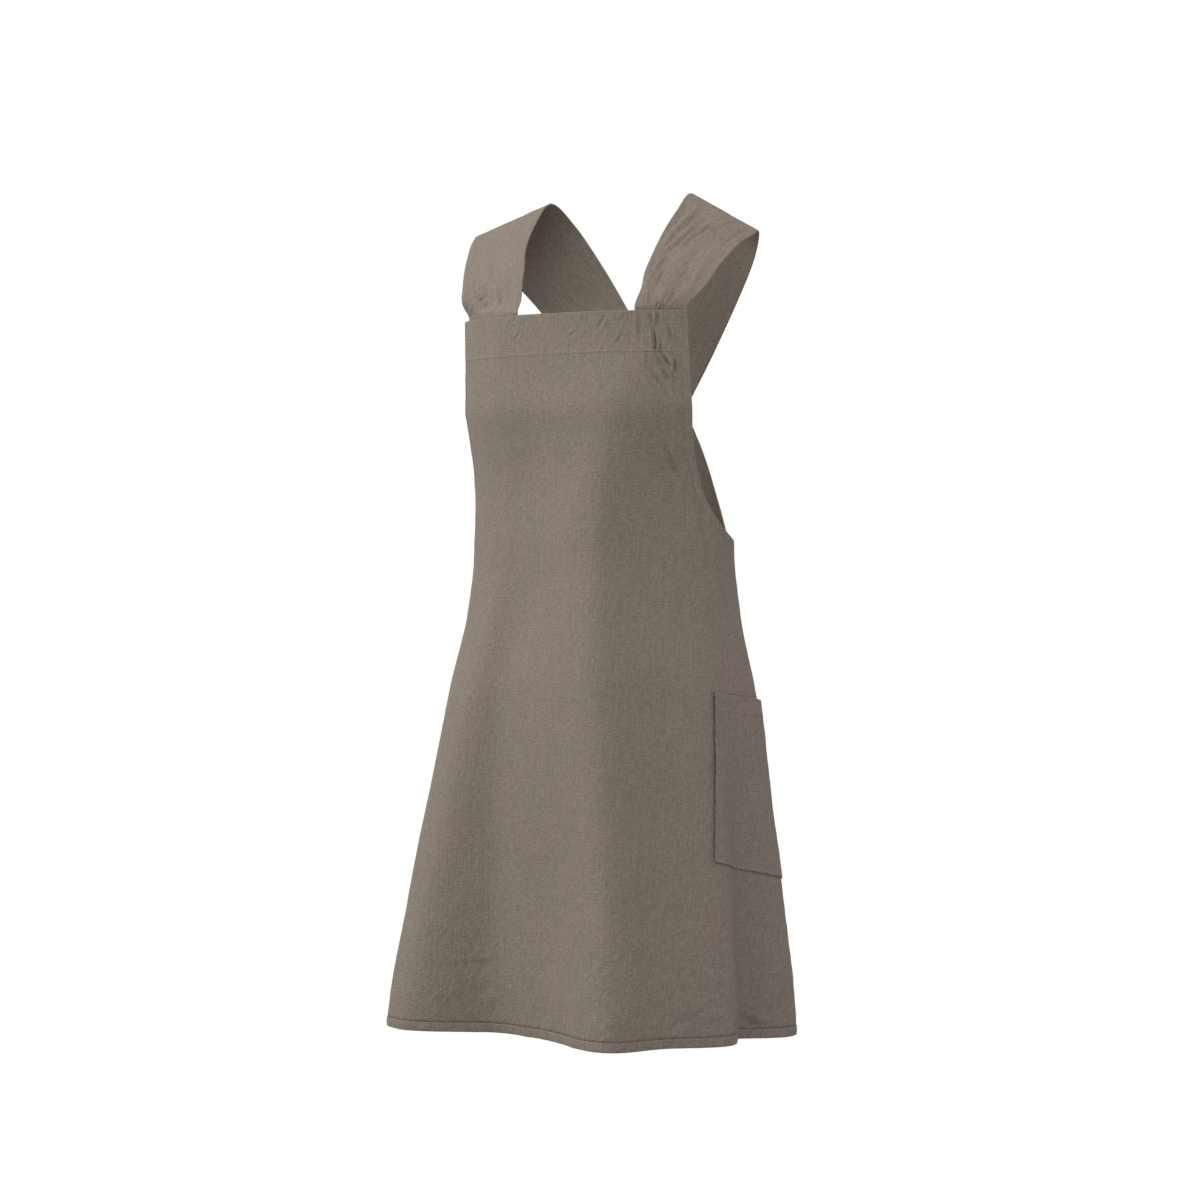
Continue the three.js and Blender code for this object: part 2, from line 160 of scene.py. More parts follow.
# Straps in front of and over the shoulder, as shares of the shoulder's distance, the chest's depth to
# the front, the bib's drop and the strap's width. Turn and slope say how the strap's width lies.
Free = namedtuple("Free", "x y z width turn slope")
LEFT_FRONT = [
    Free(0.883, -0.51, 0.81, 0.82, 19, 0),
    Free(0.897, -0.382, 0.68, 0.93, 17, 0),
    Free(0.931, -0.179, 0.507, 1.03, 17, 1),
    Free(0.955, 0.01, 0.378, 1.08, 14, 8),
    Free(0.98, 0.2, 0.27, 1.14, 6, 18),
    Free(0.985, 0.4, 0.176, 1.2, -5, 28),
]
RIGHT_FRONT = [
    Free(0.745, -0.64, 0.865, 0.96, 5, 0),
    Free(0.797, -0.505, 0.723, 0.99, 5, 1),
    Free(0.862, -0.32, 0.574, 1.04, 8, 0),
    Free(0.931, -0.118, 0.43, 1.09, 13, 1),
    Free(0.972, 0.123, 0.26, 1.11, 8, 9),
    Free(0.985, 0.4, 0.13, 1.15, -5, 20),
]
BEHIND_SHOULDER = [
    Free(0.9, 0.76, 0.35, 1.14, -22, 32),
    Free(0.67, 0.98, 0.7, 1.04, -22, 34),
]
# Straps laid on the back, x a share of the shoulder's distance, drop of the underarm's.
Laid = namedtuple("Laid", "x drop slope")
ON_BACK = [Laid(0.345, 0.427, 34), Laid(0, 0.605, 32), Laid(-0.276, 0.776, 30)]
BACK_END = Laid(-0.58, 1, 27)
# The part of a strap that is sewn behind the band, x and width as shares like those above.
Sewn = namedtuple("Sewn", "x width")
LEFT_SEWN = Sewn(0.862, 0.58)
RIGHT_SEWN = Sewn(0.707, 1.07)
# From the cloth's middle to a strap's nearer face behind the band and inside the back edge, and the
# room between the straps where they cross.
BEHIND_BAND = 2.1 * MM
BEHIND_EDGE = 1.8 * MM
CROSS_CLEAR = 1.2 * MM
# Where along a strap its gathers end, in metres.
GATHERED_RUN = 0.22

# Uneven cloth: how far a wave stands out in millimetres, its width and length in metres, its seed, and
# where its pattern starts.
Wave = namedtuple("Wave", "rise wide long seed across down", defaults=(0, 0))
RIPPLE = Wave(1.1, 0.060, 0.240, 11, 3.3)
SWELL = Wave(0.5, 0.026, 0.085, 12, 7.1, 2.2)
GRAIN = Wave(0.14, 0.009, 0.011, 14)
HEM_PUCKER = Wave(0.45, 0.0062, 0.05, 15)
SEAM_PUCKER = Wave(0.22, 0.0085, 0.04, 16)
STRAP_WAVES = [Wave(0.7, 0.030, 0.110, 31, 5), Wave(0.3, 0.013, 0.045, 33), Wave(0.12, 0.008, 0.010, 35)]
POCKET_WAVES = [Wave(0.35, 0.024, 0.045, 41), Wave(0.16, 0.009, 0.012, 42)]

# Creases pressed into the cloth: from one place to another, how deep and wide in millimetres, and how
# far the line bows to its left. A negative depth is a ridge.
Crease = namedtuple("Crease", "angle drop to_angle to_drop depth width bow", defaults=(0,))
BODY_CREASES = [
    # Gathers in the band over the wearer's left strap.
    Crease(53, 0.15, 53.8, 0.166, 1.9, 1.6, 0.2),
    Crease(54.1, 0.168, 54.5, 0.197, 4.1, 1.7, 0.3),
    Crease(56, 0.15, 55.5, 0.168, 2.2, 1.6),
    Crease(59.8, 0.164, 61.2, 0.185, 2, 1.8, 0.3),
    Crease(63, 0.174, 62.8, 0.194, 1.2, 2.2),
    Crease(56.8, 0.185, 56.2, 0.199, 1.7, 1.6),
    Crease(49, 0.15, 48.2, 0.177, 1, 2.3),
    Crease(48.5, 0.16, 48.5, 0.189, 1, 2),
    Crease(51, 0.157, 53, 0.184, -0.8, 2.2),
    Crease(58, 0.15, 57.8, 0.18, -0.8, 2.2),
    # Pleats that run out of the gathers, down the bib.
    Crease(54.5, 0.197, 56, 0.215, 1.7, 1.6),
    Crease(56, 0.197, 57.5, 0.207, 1.4, 1.4),
    Crease(57, 0.198, 59.8, 0.213, 2.9, 1.6, -0.4),
    Crease(62, 0.203, 62, 0.222, 2.9, 1.5, 0.2),
    Crease(50.8, 0.196, 50.8, 0.214, 1.5, 1.8),
    Crease(50.8, 0.214, 55.8, 0.237, 1.5, 2.7, -0.4),
    Crease(55.8, 0.237, 60.5, 0.262, 0.4, 3.4),
    Crease(56.5, 0.215, 58.8, 0.229, 1.7, 1.7),
    Crease(60.2, 0.219, 62.5, 0.238, 1.2, 1.6),
    Crease(60.5, 0.233, 61.5, 0.24, 1, 1.4),
    Crease(54.8, 0.218, 59.2, 0.25, -0.8, 2.5),
    Crease(61.2, 0.254, 64.2, 0.274, 1.2, 2.2),
    Crease(54, 0.251, 57.5, 0.267, 0.7, 1.6),
    Crease(58, 0.296, 65, 0.34, 1.9, 2.7, -1),
    Crease(60.5, 0.3, 67, 0.336, -0.7, 2.7, -0.8),
    # Pulls across the band and beside its left end.
    Crease(-28, 0.148, -30.2, 0.158, 0.5, 1.9),
    Crease(-23.8, 0.166, -29.5, 0.177, 0.7, 1.9, 0.6),
    Crease(-20.8, 0.153, -21.5, 0.166, 0.5, 1.7),
    Crease(7.5, 0.153, 5.2, 0.166, 0.3, 1.9),
    Crease(15.8, 0.171, 11, 0.177, 0.5, 1.8),
    Crease(20.8, 0.152, 19.5, 0.16, 0.5, 1.7),
    Crease(26, 0.17, 25, 0.184, 0.5, 2.2),
    Crease(33.2, 0.152, 29, 0.168, 1, 2, 0.3),
    Crease(32.8, 0.17, 30, 0.182, 0.5, 2.2),
    Crease(42, 0.152, 39.8, 0.166, 0.5, 1.9),
    Crease(41.8, 0.171, 37.5, 0.19, 1.1, 2, 0.5),
    Crease(-37.8, 0.163, -38, 0.187, 0.5, 1.7),
    Crease(-34, 0.16, -30, 0.152, 0.3, 1.9),
    # Soft pleats at the waist and the underarm.
    Crease(-54, 0.395, -49, 0.44, 0.8, 5, 1),
    Crease(-20, 0.43, -14, 0.475, 0.4, 6, 2),
    Crease(75, 0.368, 77, 0.412, 1.6, 3.4, 0.6),
    Crease(77, 0.392, 80, 0.47, 0.8, 5, 2),
    Crease(84, 0.398, 86, 0.5, 0.6, 5, 1),
    # Crumples above the bottom hem.
    Crease(-45.5, 0.882, -42, 0.899, 1.1, 2.8, 0.8),
    Crease(-42, 0.899, -36, 0.89, -1.4, 3.2, 1),
    Crease(-46, 0.908, -40, 0.898, 1.4, 2.9, 1),
    Crease(-42, 0.942, -34, 0.924, 1, 4, 1),
    Crease(-44, 0.925, -40, 0.93, 0.8, 3.2, 0.5),
    Crease(46, 0.922, 52, 0.912, 0.8, 4, 1),
    Crease(50, 0.962, 60, 0.944, 1.1, 4, 2),
    Crease(55, 0.956, 66, 0.932, 1, 3.6, 2),
    Crease(60, 0.962, 68, 0.95, 0.8, 3.2, 1),
    Crease(84, 0.956, 91, 0.97, 1.8, 2.7, 2),
    Crease(86, 0.952, 92, 0.964, -1.9, 2.2, 2),
]

# Creases in a strap: along from the band's top edge in metres, across from -0.5 at the neck's edge to
# 0.5 at the arm's, depth, width and bow in millimetres.
Pull = namedtuple("Pull", "along across to_along to_across depth width bow", defaults=(0,))
LEFT_PULLS = [
    Pull(0.103, -0.41, 0.126, -0.39, 1.6, 2.7),
    Pull(0.121, -0.4, 0.162, -0.3, 2.5, 3.2, 1),
    Pull(0.068, -0.37, 0.084, -0.36, 2.3, 2.2),
    Pull(0.083, -0.35, 0.104, -0.2, 1.3, 2.3),
    Pull(0.098, -0.19, 0.124, -0.15, 2.7, 2.3),
    Pull(0.118, -0.16, 0.147, -0.03, 2.3, 2.3, 0.6),
    Pull(0.084, -0.33, 0.146, -0.12, -1.6, 3.1, 1.5),
    Pull(0.129, 0.03, 0.148, 0.07, 1.8, 2.5),
    Pull(0.15, 0.06, 0.169, 0.17, 1.6, 2),
    Pull(0.106, 0.29, 0.133, 0.3, 1.4, 1.8),
    Pull(0.131, 0.3, 0.158, 0.34, 2.3, 1.8),
    Pull(0.112, 0.42, 0.14, 0.44, 0.9, 2.2),
    Pull(0.061, -0.43, 0.037, -0.44, 0.9, 1.8),
    Pull(0.07, -0.24, 0.045, -0.34, 1.4, 2.2),
    Pull(0.038, 0, 0.001, 0.12, 2.2, 2, 0.5),
    Pull(0.034, 0.08, 0.005, 0.17, -1.1, 2.2),
    Pull(0.027, -0.37, 0.005, -0.23, 2, 1.6, 0.4),
    Pull(0.037, -0.36, 0.025, -0.37, 1.1, 1.6),
    Pull(0.014, -0.02, -0.002, -0.02, 2.2, 1.6),
    Pull(0.012, 0.03, -0.001, 0.06, 2.2, 1.6),
    Pull(0.009, 0.34, 0.002, 0.28, 1.1, 1.4),
    Pull(0.016, 0.24, 0.006, 0.2, 0.9, 1.6),
    Pull(0.068, 0.06, 0.054, 0.02, 0.9, 2.2),
    Pull(0.067, 0.25, 0.045, 0.26, 0.7, 2.7),
]
RIGHT_PULLS = [
    Pull(0.03, 0.24, 0.039, 0.13, 2.7, 1.6),
    Pull(0.015, 0.15, 0.027, 0.11, 3.1, 2),
    Pull(0.036, 0.29, 0.044, 0.18, 1.4, 1.5),
    Pull(0.044, 0.19, 0.055, 0.13, 1.1, 1.4),
    Pull(0.025, 0.34, 0.006, 0.44, 1, 2.5),
    Pull(0.01, -0.02, 0.002, -0.08, 2, 1.6),
    Pull(0.008, 0.06, 0.002, 0.02, 1.1, 1.4),
    Pull(0.047, -0.08, 0.012, -0.16, 1.6, 2.3),
    Pull(0.006, -0.22, 0.001, -0.23, 0.9, 1.6),
    Pull(0.067, 0.35, 0.039, 0.29, 1.1, 2.7),
]

# Round lamps aimed at the middle of the apron: degrees round from the camera and up, metres off and
# across.
Lamp = namedtuple("Lamp", "name turn rise distance size")
LAMPS = [Lamp("key light", -92, 22, 2.5, 1.4), Lamp("top light", -5, 50, 2.1, 2.0)]


class ApronSizes(bpy.types.PropertyGroup):
    """Sizes of the apron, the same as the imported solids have."""

    def length(name, default, description):
        return bpy.props.FloatProperty(name=name, default=default, description=description, min=0,
                                       unit="LENGTH", subtype="DISTANCE", precision=4)

    def three(name, default, description):
        return bpy.props.FloatVectorProperty(name=name, default=default, description=description, size=3,
                                             unit="LENGTH", precision=4)

    length_down: length("Length", 0.980, "From the shoulder to the bottom edge")
    bib_top: length("Bib top", 0.148, "From the shoulder down to the top edge of the bib")
    underarm: length("Underarm", 0.410, "From the shoulder down to the lowest point of the armhole")
    chest: three("Chest", (0.175, 0.106, 0.118), "Half width, depth to the front and to the back")
    waist: three("Waist", (0.163, 0.087, 0.128), "Half width, depth to the front and to the back")
    hem: three("Hem", (0.250, 0.171, 0.150), "Half width, depth to the front and to the back")
    cloth: length("Cloth", 0.0012, "Thickness of one layer of washed linen")
    band_height: length("Band height", 0.048, "Height of the folded band along the bib")
    band_wall: length("Band thickness", 0.0026, "Thickness of the folded band")
    edge_hem: length("Edge hem", 0.010, "Width of the turned edges at the armholes and the back")
    edge_wall: length("Edge thickness", 0.0022, "Thickness of the turned edges")
    bottom_hem: length("Bottom hem", 0.011, "Height of the bottom hem")
    bottom_wall: length("Hem thickness", 0.0026, "Thickness of the bottom hem")
    back_gap_top: length("Back gap at the top", 0.060, "Width of the open back under the arms")
    back_gap_hem: length("Back gap at the hem", 0.100, "Width of the open back at the bottom")
    strap_width: length("Strap width", 0.090, "Width of each strap")
    strap_wall: length("Strap thickness", 0.0020, "Thickness of the doubled strap")
    shoulder: length("Shoulder", 0.145, "From the middle to the middle of a strap on the shoulder")
    strap_tail: length("Strap tail", 0.028, "Length of the strap sewn inside the back edge")
    pocket_top: length("Pocket top", 0.583, "From the shoulder down to the mouth of the pocket")
    pocket_height: length("Pocket height", 0.191, "Height of the pocket")
    pocket_width: length("Pocket width", 0.165, "Width of the pocket")
    pocket_hem: length("Pocket hem", 0.020, "Height of the folded mouth of the pocket")
    pocket_lead: length("Pocket lead", 0.048, "How far the pocket's front edge lies in front of the side")
    pocket_swing: length("Pocket swing", 0.026, "How much further in front its foot lies")
    pocket_droop: length("Pocket droop", 0.032, "How much lower its foot hangs at the back edge")
    pocket_gape: length("Pocket gape", 0.0025, "How far the mouth stands off the apron")
    stitch: length("Stitch", 0.0026, "Length of one stitch")
    stitch_pitch: length("Stitch pitch", 0.0033, "From one stitch to the next")
    thread: length("Thread", 0.0007, "Thickness of the sewing thread")


class LinenLooks(bpy.types.PropertyGroup):
    """Colours and thread spacing of the washed linen."""

    def tint(name, default, description):
        return bpy.props.StringProperty(name=name, default=default, description=description)

    light: tint("Light yarn", "#998e82", "Colour of the palest yarns")
    dark: tint("Dark yarn", "#7b7166", "Colour of the darkest yarns")
    warm: tint("Warm patches", "#93857a", "Colour the cloth leans to in its warmer patches")
    cool: tint("Cool patches", "#867f72", "Colour the cloth leans to in its cooler patches")
    rosy: tint("Rosy cloth", "#90817b", "Colour the cloth leans to at the sides, the straps and the pocket")
    thread: tint("Thread", "#b5aa9c", "Colour of the sewing thread")
    yarn: bpy.props.FloatProperty(name="Yarn spacing", default=0.0019, unit="LENGTH", precision=4,
                                  description="Spacing of the yarns that show from the camera")


class StudioLight(bpy.types.PropertyGroup):
    """Camera, lights and floor of the plain studio."""

    turn: bpy.props.FloatProperty(name="Camera turn", default=30, description="Degrees from the front")
    distance: bpy.props.FloatProperty(name="Camera distance", default=4.0, unit="LENGTH",
                                      description="From the camera to the upright axis")
    height: bpy.props.FloatProperty(name="Camera height", default=-0.478, unit="LENGTH",
                                    description="Height of the camera against the shoulder")
    key: bpy.props.FloatProperty(name="Key", default=28.5, description="Power of the main light in watts")
    top: bpy.props.FloatProperty(name="Top", default=10.8, description="Power of the light overhead in watts")
    sky: bpy.props.FloatProperty(name="Sky", default=0.5, description="Strength of the light all round")
    floor: bpy.props.FloatProperty(name="Floor", default=-1.32, unit="LENGTH",
                                   description="Height of the floor")


def between(rows, column, at):
    """One column of a table at places between its rows, on a smooth curve that never overshoots."""
    places = np.array([row[0] for row in rows], float)
    values = np.array([getattr(row, column) for row in rows], float)
    at = np.clip(at, places[0], places[-1])
    rise = np.diff(values) / np.diff(places)
    slope = np.zeros(len(values))
    same = rise[:-1] * rise[1:] > 0
    slope[1:-1][same] = (2 * rise[:-1] * rise[1:])[same] / (rise[:-1] + rise[1:])[same]
    k = np.clip(np.searchsorted(places, at, "right") - 1, 0, len(places) - 2)
    span = places[k + 1] - places[k]
    t = (at - places[k]) / span
    bend = values[k] * (1 + 2 * t) * (1 - t) ** 2 + values[k + 1] * (3 - 2 * t) * t * t
    return bend + span * t * (1 - t) * (slope[k] * (1 - t) - slope[k + 1] * t)


def spline(keys, places):
    """Centripetal Catmull-Rom curves through keys, along their first axis, at places from 0 to 1."""
    keys = np.asarray(keys, float)
    padded = np.concatenate([2 * keys[:1] - keys[1:2], keys, 2 * keys[-1:] - keys[-2:-1]])
    steps = np.sqrt(np.linalg.norm(np.diff(padded, axis=0), axis=-1, keepdims=True))
    at = np.clip(places, 0, 1) * (len(keys) - 1)
    k = np.minimum(at.astype(int), len(keys) - 2)
    t = (at - k).reshape(-1, *[1] * (keys.ndim - 1))
    p0, p1, p2, p3 = (padded[k + i] for i in range(4))
    d0, d1, d2 = (steps[k + i] for i in range(3))
    leave = ((p1 - p0) / d0 - (p2 - p0) / (d0 + d1) + (p2 - p1) / d1) * d1
    reach = ((p2 - p1) / d1 - (p3 - p1) / (d1 + d2) + (p3 - p2) / d2) * d1
    square = t * t
    cube = square * t
    return (p1 + leave * t + (3 * (p2 - p1) - 2 * leave - reach) * square
            + (2 * (p1 - p2) + leave + reach) * cube)


def noise(across, down, seed):
    """Smooth noise from -1 to 1 on a plane, one cell to the unit."""
    column = np.floor(across).astype(np.int64)
    row = np.floor(down).astype(np.int64)
    s = across - column
    t = down - row
    s = s * s * s * (s * (s * 6 - 15) + 10)
    t = t * t * t * (t * (t * 6 - 15) + 10)

    def value(i, j):
        mixed = (i * 73856093) ^ (j * 19349663) ^ (seed * 83492791)
        mixed = ((mixed & 0x7fffffff) * 1103515245 + 12345) & 0x7fffffff
        mixed = ((mixed ^ (mixed >> 13)) * 1274126177) & 0x7fffffff
        return ((mixed ^ (mixed >> 16)) & 0xffff) / 65535

    top = value(column, row) * (1 - s) + value(column + 1, row) * s
    foot = value(column, row + 1) * (1 - s) + value(column + 1, row + 1) * s
    return 2 * (top * (1 - t) + foot * t) - 1


def waved(wave, across, down, side=0):
    """How far one wave of the uneven cloth stands out at places on it, in metres."""
    return wave.rise * MM * noise(across / wave.wide + wave.across, down / wave.long + wave.down,
                                  wave.seed + side)


def bell(off, width):
    """A soft bump: 1 at no distance, a third at its width and nothing far off."""
    return np.exp(-(off / width) ** 2)


def two_runs(start, middle, end, first, second):
    """Places in even steps from start to middle, and in other even steps from there to end."""
    return np.concatenate([np.linspace(start, middle, first), np.linspace(middle, end, second)[1:]])


def run_along(line):
    """How far each point of a line lies along it."""
    return np.concatenate([[0], np.cumsum(np.linalg.norm(np.diff(line, axis=0), axis=-1))])


def press(across, down, start, end, depth, width, bow):
    """How far one crease moves the cloth at places on a plane, in metres.

    The cloth rises a little on both sides of the line, and the line fades towards its ends.
    """
    run = np.subtract(end, start)
    length = np.hypot(*run)
    run = run / length
    along = ((across - start[0]) * run[0] + (down - start[1]) * run[1]) / length
    bowed = bow * MM * 4 * along * (1 - along)
    off = ((across - start[0]) * run[1] - (down - start[1]) * run[0] - bowed) / (width * MM)
    fade = bell(np.maximum(np.abs(along - 0.5) * 2 - 0.3, 0), 0.5)
    line = bell(off, 1) - 0.45 * bell(np.abs(off) - 1.9, 0.9)
    return -depth * MM * fade * line


def rounded(distance, half):
    """Share of its full thickness that a folded edge has at a distance from the fold."""
    near = np.clip(distance / half, 0, 1)
    return np.maximum(np.sqrt(1 - (1 - near) ** 2), 0.06)


def spread(start, end, count, edges=()):
    """Places from start to end in even steps, with more of them close to the edges named."""
    places = list(np.linspace(start, end, count))
    for edge in edges:
        inward = 1 if edge == min(start, end) else -1
        for step in (0.15, 0.45, 0.9, 1.5):
            places.append(edge + inward * step * MM)
    places = np.unique(np.round(places, 7))
    return places if end > start else places[::-1]


class Form:
    """The surface on which the apron's pieces lie, worked out from its sizes."""

    def __init__(self, sizes):
        # Lengths round the body are measured once, and places on the cloth are read from them.
        self.s = sizes
        drops = np.linspace(sizes.bib_top - 0.01, sizes.length_down + 0.01, 110)
        angles = np.linspace(-180, 180, 721)
        r = self.radius(angles[None, :], drops[:, None])
        slope = np.gradient(r, np.radians(angles), axis=1)
        step = np.hypot(r, slope) * np.radians(angles[1] - angles[0])
        run = np.cumsum(step, axis=1)
        self.run = run - run[:, [len(angles) // 2]]
        self.drops = drops
        self.angles = angles

    def level(self, drop):
        s = self.s
        upper = (drop - s.underarm) / (s.underarm - s.bib_top)
        lower = (drop - s.underarm) / (s.length_down - s.underarm)
        return np.where(drop < s.underarm, upper, lower)

    def radius(self, angle, drop):
        """Distance of the body from the upright axis."""
        s = self.s
        angle, drop = np.broadcast_arrays(np.asarray(angle, float), np.asarray(drop, float))
        level = self.level(drop)
        chest = between(SECTIONS, "chest", level)
        hem = between(SECTIONS, "hem", level)
        side, front, back = (s.chest[i] * chest + s.hem[i] * hem + s.waist[i] * (1 - chest - hem)
                             for i in range(3))
        turn = np.radians(angle)
        depth = np.where(np.cos(turn) > 0, front, back)
        base = 1 / np.hypot(np.sin(turn) / side, np.cos(turn) / depth)
        rise = sum(fold.rise * bell(angle - fold.angle, fold.spread) for fold in FOLDS)
        off = np.hypot(angle - between(RIDGE, "angle", level), RIDGE_CREST) - RIDGE_CREST
        crest = s.chest[0] * between(RIDGE, "rise", level) * np.maximum(1 - off / RIDGE_FLANK, 0) ** 2
        return base + crest + s.hem[0] * np.maximum(level, 0) ** FOLD_GROWTH * rise

    def on_axis(self, angle, drop):
        angle, drop = np.broadcast_arrays(np.asarray(angle, float), np.asarray(drop, float))
        r = self.radius(angle, drop)
        turn = np.radians(angle)
        return np.stack([r * np.sin(turn), -r * np.cos(turn), -drop], axis=-1)

    def facing(self, angle, drop):
        """The way out, square to the body's surface."""
        around = self.on_axis(angle + 0.5, drop) - self.on_axis(angle - 0.5, drop)
        down = self.on_axis(angle, drop + 2 * MM) - self.on_axis(angle, drop - 2 * MM)
        normal = np.cross(down, around)
        return normal / np.linalg.norm(normal, axis=-1, keepdims=True)

    def on_body(self, angle, drop, out=0.0):
        """Points at a distance outside the body's surface, square to it."""
        facing = self.facing(angle, drop)
        out = np.broadcast_to(np.asarray(out, float), facing.shape[:-1])
        return self.on_axis(angle, drop) + facing * out[..., None]

    def angle_at(self, x, drop, back):
        """The angle at which the body passes through x, on its front or its back."""
        x, drop = np.broadcast_arrays(np.asarray(x, float), np.asarray(drop, float))
        side = np.full(x.shape, 90.0)
        middle = np.full(x.shape, 180.0 if back else 0.0)
        for _ in range(24):
            angle = (side + middle) / 2
            reach = self.radius(np.where(x < 0, -angle, angle), drop) * np.sin(np.radians(angle))
            outside = reach > np.abs(x)
            side = np.where(outside, angle, side)
            middle = np.where(outside, middle, angle)
        return np.where(x < 0, -side, side)

    def back_edge(self, level, inset):
        """Angle of the edge of the open back at a level, with an inset along the cloth."""
        s = self.s
        top = self.angle_at(s.back_gap_top / 2 + inset, s.underarm, True)
        foot = self.angle_at(s.back_gap_hem / 2 + inset, s.length_down, True)
        return top + (foot - top) * level

    def armhole_edge(self, side, share, inset):
        """Angle and drop of the armhole's edge and the top of the back, from 0 at the band to 1."""
        s = self.s
        band_foot = s.bib_top + s.band_height - LAP
        end = self.back_edge(0, 0)

        def place(at):
            curve = spline(ARMHOLE, np.minimum(at / ARMHOLE_SHARE, 1))
            rest = (at - ARMHOLE_SHARE) / (1 - ARMHOLE_SHARE)
            turn = np.where(at > ARMHOLE_SHARE, curve[:, 0] + (1 - curve[:, 0]) * rest, curve[:, 0])
            angle = CORNERS[side] + (end - CORNERS[side]) * turn
            return angle, band_foot + (s.underarm - band_foot) * curve[:, 1]

        share = np.asarray(share, float)
        angle, drop = place(share)
        before = place(np.maximum(share - 0.004, 0))
        after = place(np.minimum(share + 0.004, 1))
        per_degree = np.radians(1) * self.radius(side * angle, drop)
        along = (after[0] - before[0]) * per_degree
        down = after[1] - before[1]
        length = np.hypot(along, down)
        lowered = np.maximum(drop + inset * along / length, band_foot)
        return angle - inset * down / length / per_degree, lowered

    def cloth(self, angle, drop):
        """Place on the cloth: metres round from the middle of the front, and metres down."""
        angle, drop = np.broadcast_arrays(np.asarray(angle, float), np.asarray(drop, float))
        a = np.clip((angle + 180) / (self.angles[1] - self.angles[0]), 0, len(self.angles) - 1.001)
        d = np.clip((drop - self.drops[0]) / (self.drops[1] - self.drops[0]), 0, len(self.drops) - 1.001)
        i = a.astype(int)
        j = d.astype(int)
        a = a - i
        d = d - j
        upper = self.run[j, i] * (1 - a) + self.run[j, i + 1] * a
        lower = self.run[j + 1, i] * (1 - a) + self.run[j + 1, i + 1] * a
        return upper * (1 - d) + lower * d, drop

    def weave(self, angle, drop):
        """Where the yarns run: the grain is straight down the front and leans with the flare."""
        across, down = self.cloth(angle, drop)
        flare = np.clip(self.level(drop), 0, 1) * 0.33
        return np.stack([across, down - across ** 2 * flare], axis=-1)

    def relief(self, angle, drop):
        """How far the cloth stands out from the plain surface: ripples, crumples and creases."""
        s = self.s
        across, down = self.cloth(angle, drop)
        level = self.level(down)
        skirt = np.clip(level + 0.35, 0.15, 1)
        total = skirt * waved(RIPPLE, across, down) + waved(SWELL, across, down)
        # Crumples run slantwise and are strongest on the lowest third of the skirt.
        low = np.clip((level - 0.62) / 0.3, 0, 1)
        crumple = 1 - 2 * np.abs(noise((across + 0.5 * down) / 0.021, (down - 0.5 * across) / 0.017, 13))
        total += (0.10 + 0.35 * low) * MM * crumple
        total += waved(GRAIN, across, down)
        # The hem and the band's seam pucker the cloth, and the seam stands up in a low ridge.
        to_hem = s.length_down - s.bottom_hem - down
        total += waved(HEM_PUCKER, across, down) * bell(to_hem + 4 * MM, 9 * MM)
        to_seam = s.bib_top + s.band_height - down
        total += waved(SEAM_PUCKER, across, down) * bell(to_seam, 10 * MM)
        total += 0.3 * MM * bell(to_seam - 2 * MM, 1.3 * MM)
        for crease in BODY_CREASES:
            middle = (crease.drop + crease.to_drop) / 2
            near = np.abs(down - middle) < abs(crease.drop - crease.to_drop) / 2 + 0.02
            if near.any():
                start = self.cloth(crease.angle, middle)[0], crease.drop
                end = self.cloth(crease.to_angle, middle)[0], crease.to_drop
                pressed = press(self.cloth(angle, middle)[0], down, start, end, crease.depth,
                                crease.width, crease.bow)
                total += np.where(near, pressed, 0)
        return total


def normals(grid):
    """Outward directions of a grid of points, rows going down and columns round."""
    down = np.gradient(grid, axis=0)
    across = np.gradient(grid, axis=1)
    normal = np.cross(down, across)
    return normal / np.maximum(np.linalg.norm(normal, axis=-1, keepdims=True), 1e-12)


